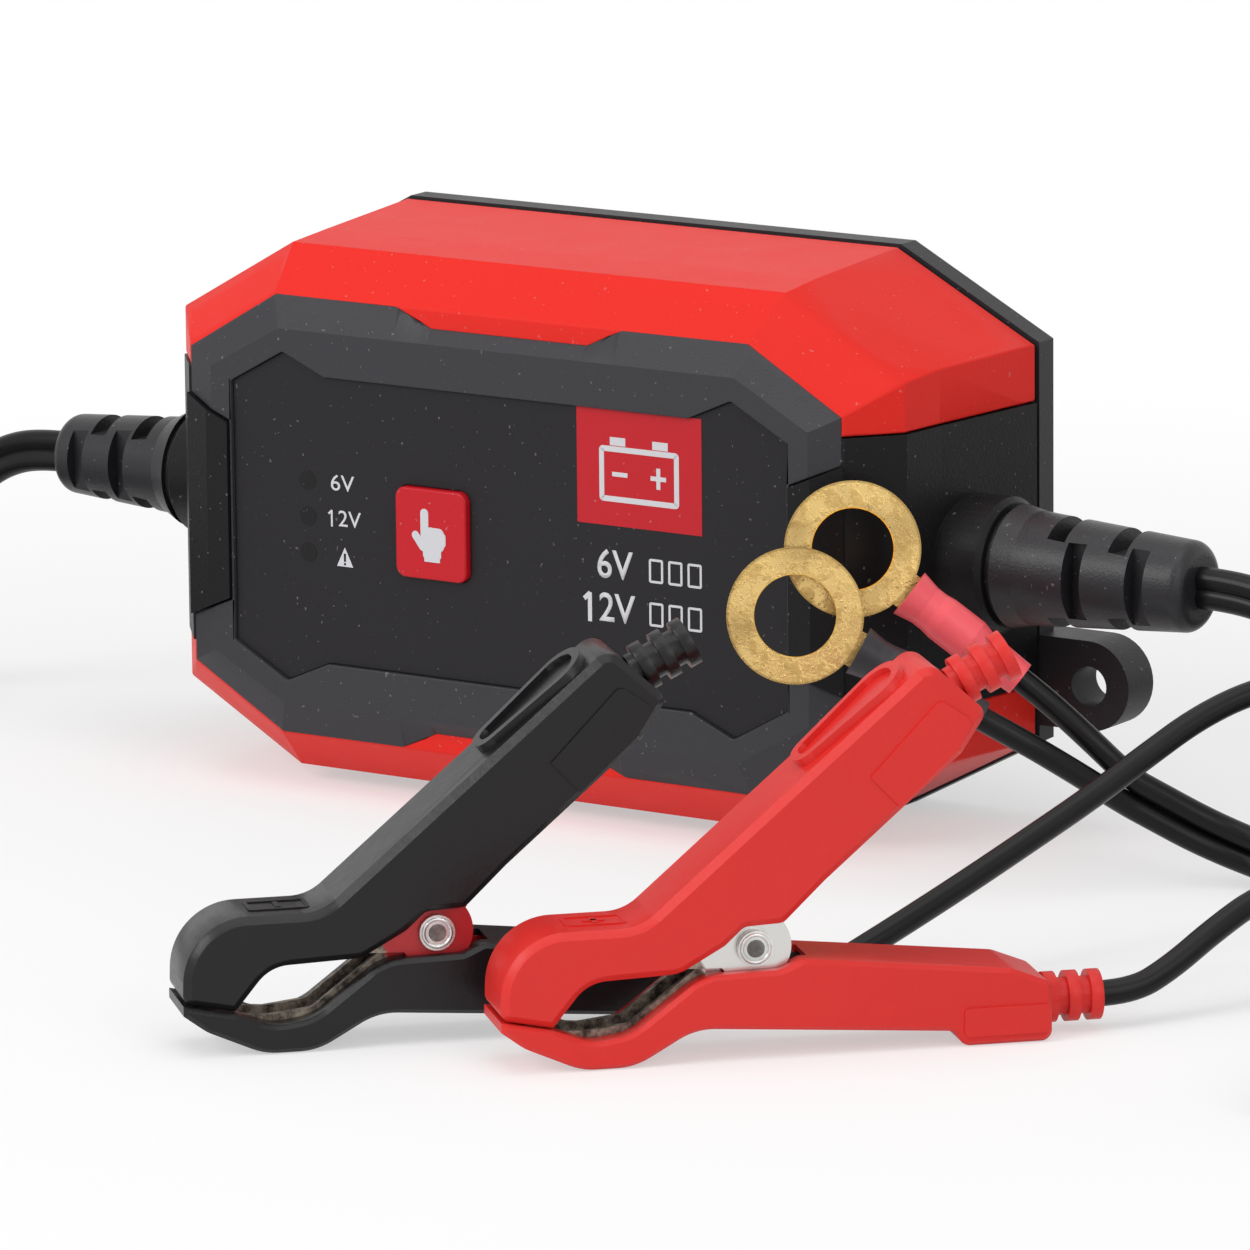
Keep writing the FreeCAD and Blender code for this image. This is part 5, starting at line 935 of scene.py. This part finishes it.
for colour in ("red", "black"):
    rivet = nodes[colour + "_pivot_rivet"]
    low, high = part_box(colour + "_pivot_rivet")
    middle = (Vector(low) + Vector(high)) / 2
    points = [rivet.matrix_world @ vertex.co - middle for vertex in rivet.data.vertices]
    reach = max(point.dot(CLAMP_ACROSS) for point in points)
    rims, dimples = bmesh.new(), bmesh.new()
    for way in (-1, 1):
        facing = Matrix((CLAMP_WAY, Vector((0, 0, way)), CLAMP_ACROSS * way)).transposed().to_4x4()
        turn = Matrix.Translation(middle + CLAMP_ACROSS * (reach * way)) @ facing
        rim = rim_mesh()
        rim.transform(turn)
        rims.from_mesh(rim)
        bmesh.ops.create_cone(
            dimples, cap_ends=True, segments=32, radius1=DIMPLE_RADIUS * MM, radius2=DIMPLE_RADIUS * MM,
            depth=DIMPLE_THICK * MM, matrix=turn)
    for face in rims.faces:
        face.smooth = True
    finish_piece(colour + "_rivet_rims", rims, rivet_steel, "charger")
    finish_piece(colour + "_rivet_dimples", dimples, dimple_shade, "charger")

# %% [markdown]
# The studio is a pale floor under a white sky. What the camera, a shiny surface or a clear one sees
# of the sky is white, with Light Path, while the light that it casts is weaker. The floor is lifted
# towards white in the same way, by half near the charger, so that it keeps the soft shadow, and
# wholly further out.

# %% Floor and sky
def seen(tree):
    """1 for rays from the camera, off a shiny surface or through a clear one."""
    path = tree.nodes.new("ShaderNodeLightPath")
    total = path.outputs["Is Camera Ray"]
    for kind in ("Is Glossy Ray", "Is Transmission Ray"):
        either = tree.nodes.new("ShaderNodeMath")
        either.operation = "MAXIMUM"
        tree.links.new(total, either.inputs[0])
        tree.links.new(path.outputs[kind], either.inputs[1])
        total = either.outputs[0]
    return total


NEAR_LIFT, LIFT_STARTS, LIFT_ENDS = 0.5, 0.14, 0.36
LIFT_MIDDLE = (0, 0.03, 0)
FLOOR_HALF, FLOOR_DROP = 6, 0.0001
floor_mesh = bpy.data.meshes.new("floor")
sketch = bmesh.new()
bmesh.ops.create_grid(sketch, x_segments=1, y_segments=1, size=FLOOR_HALF)
bmesh.ops.translate(sketch, vec=(0, 0, -FLOOR_DROP), verts=sketch.verts[:])
sketch.to_mesh(floor_mesh)
sketch.free()
floor = show("floor", floor_mesh)
paper = Finish("floor_paper", base_color=(0.95, 0.95, 0.95, 1), roughness=0.9, specular_ior_level=0.0)
away = paper.between(paper.distance(LIFT_MIDDLE), LIFT_STARTS, LIFT_ENDS) * (1 - NEAR_LIFT) + NEAR_LIFT
lift = Value(paper, seen(paper.tree)) * away
plain = Value(paper, paper.shader.outputs[0])
shine = paper.node("ShaderNodeEmission", None, {"Color": (1, 1, 1, 1)})
mixed = paper.node("ShaderNodeMixShader", None, {0: lift, 1: plain, 2: shine})
paper.tree.links.new(mixed.socket, paper.end.inputs[0])
wear(floor, paper)

sky = bpy.data.worlds.new("sky")
sky.use_nodes = True
bpy.context.scene.world = sky
sky_tree = sky.node_tree
sky_mix = sky_tree.nodes.new("ShaderNodeMix")
sky_mix.data_type = "RGBA"
SKY_FILL = 0.45
sky_mix.inputs[6].default_value = (SKY_FILL, SKY_FILL, SKY_FILL, 1)
sky_mix.inputs[7].default_value = (1, 1, 1, 1)
sky_tree.links.new(seen(sky_tree), sky_mix.inputs[0])
background = sky_tree.nodes["Background"]
sky_tree.links.new(sky_mix.outputs[2], background.inputs["Color"])
print("floor and sky")

# %% [markdown]
# Three soft lamps light the charger so that a colour comes out about as it was mixed: a broad one
# overhead, a stronger one at the front left, and a weak one at the right for the shaded flank.

# %% Lamps
def lamp(name, place, size, power):
    """A square soft lamp that faces the charger."""
    data = bpy.data.lights.new(name, "AREA")
    data.size = size
    data.energy = power
    holder = bpy.data.objects.new(name, data)
    bpy.context.scene.collection.objects.link(holder)
    place = Vector(place)
    turn = (AIM - place).to_track_quat("-Z", "Y").to_matrix().to_4x4()
    holder.matrix_world = Matrix.Translation(place) @ turn


lamp("overhead", (0.1, -0.2, 1.3), 1.2, 5.8)
lamp("key", (-0.5, -1.2, 0.9), 0.7, 9.5)
lamp("right", (1.3, -0.6, 0.8), 0.8, 4)
print("three lamps")
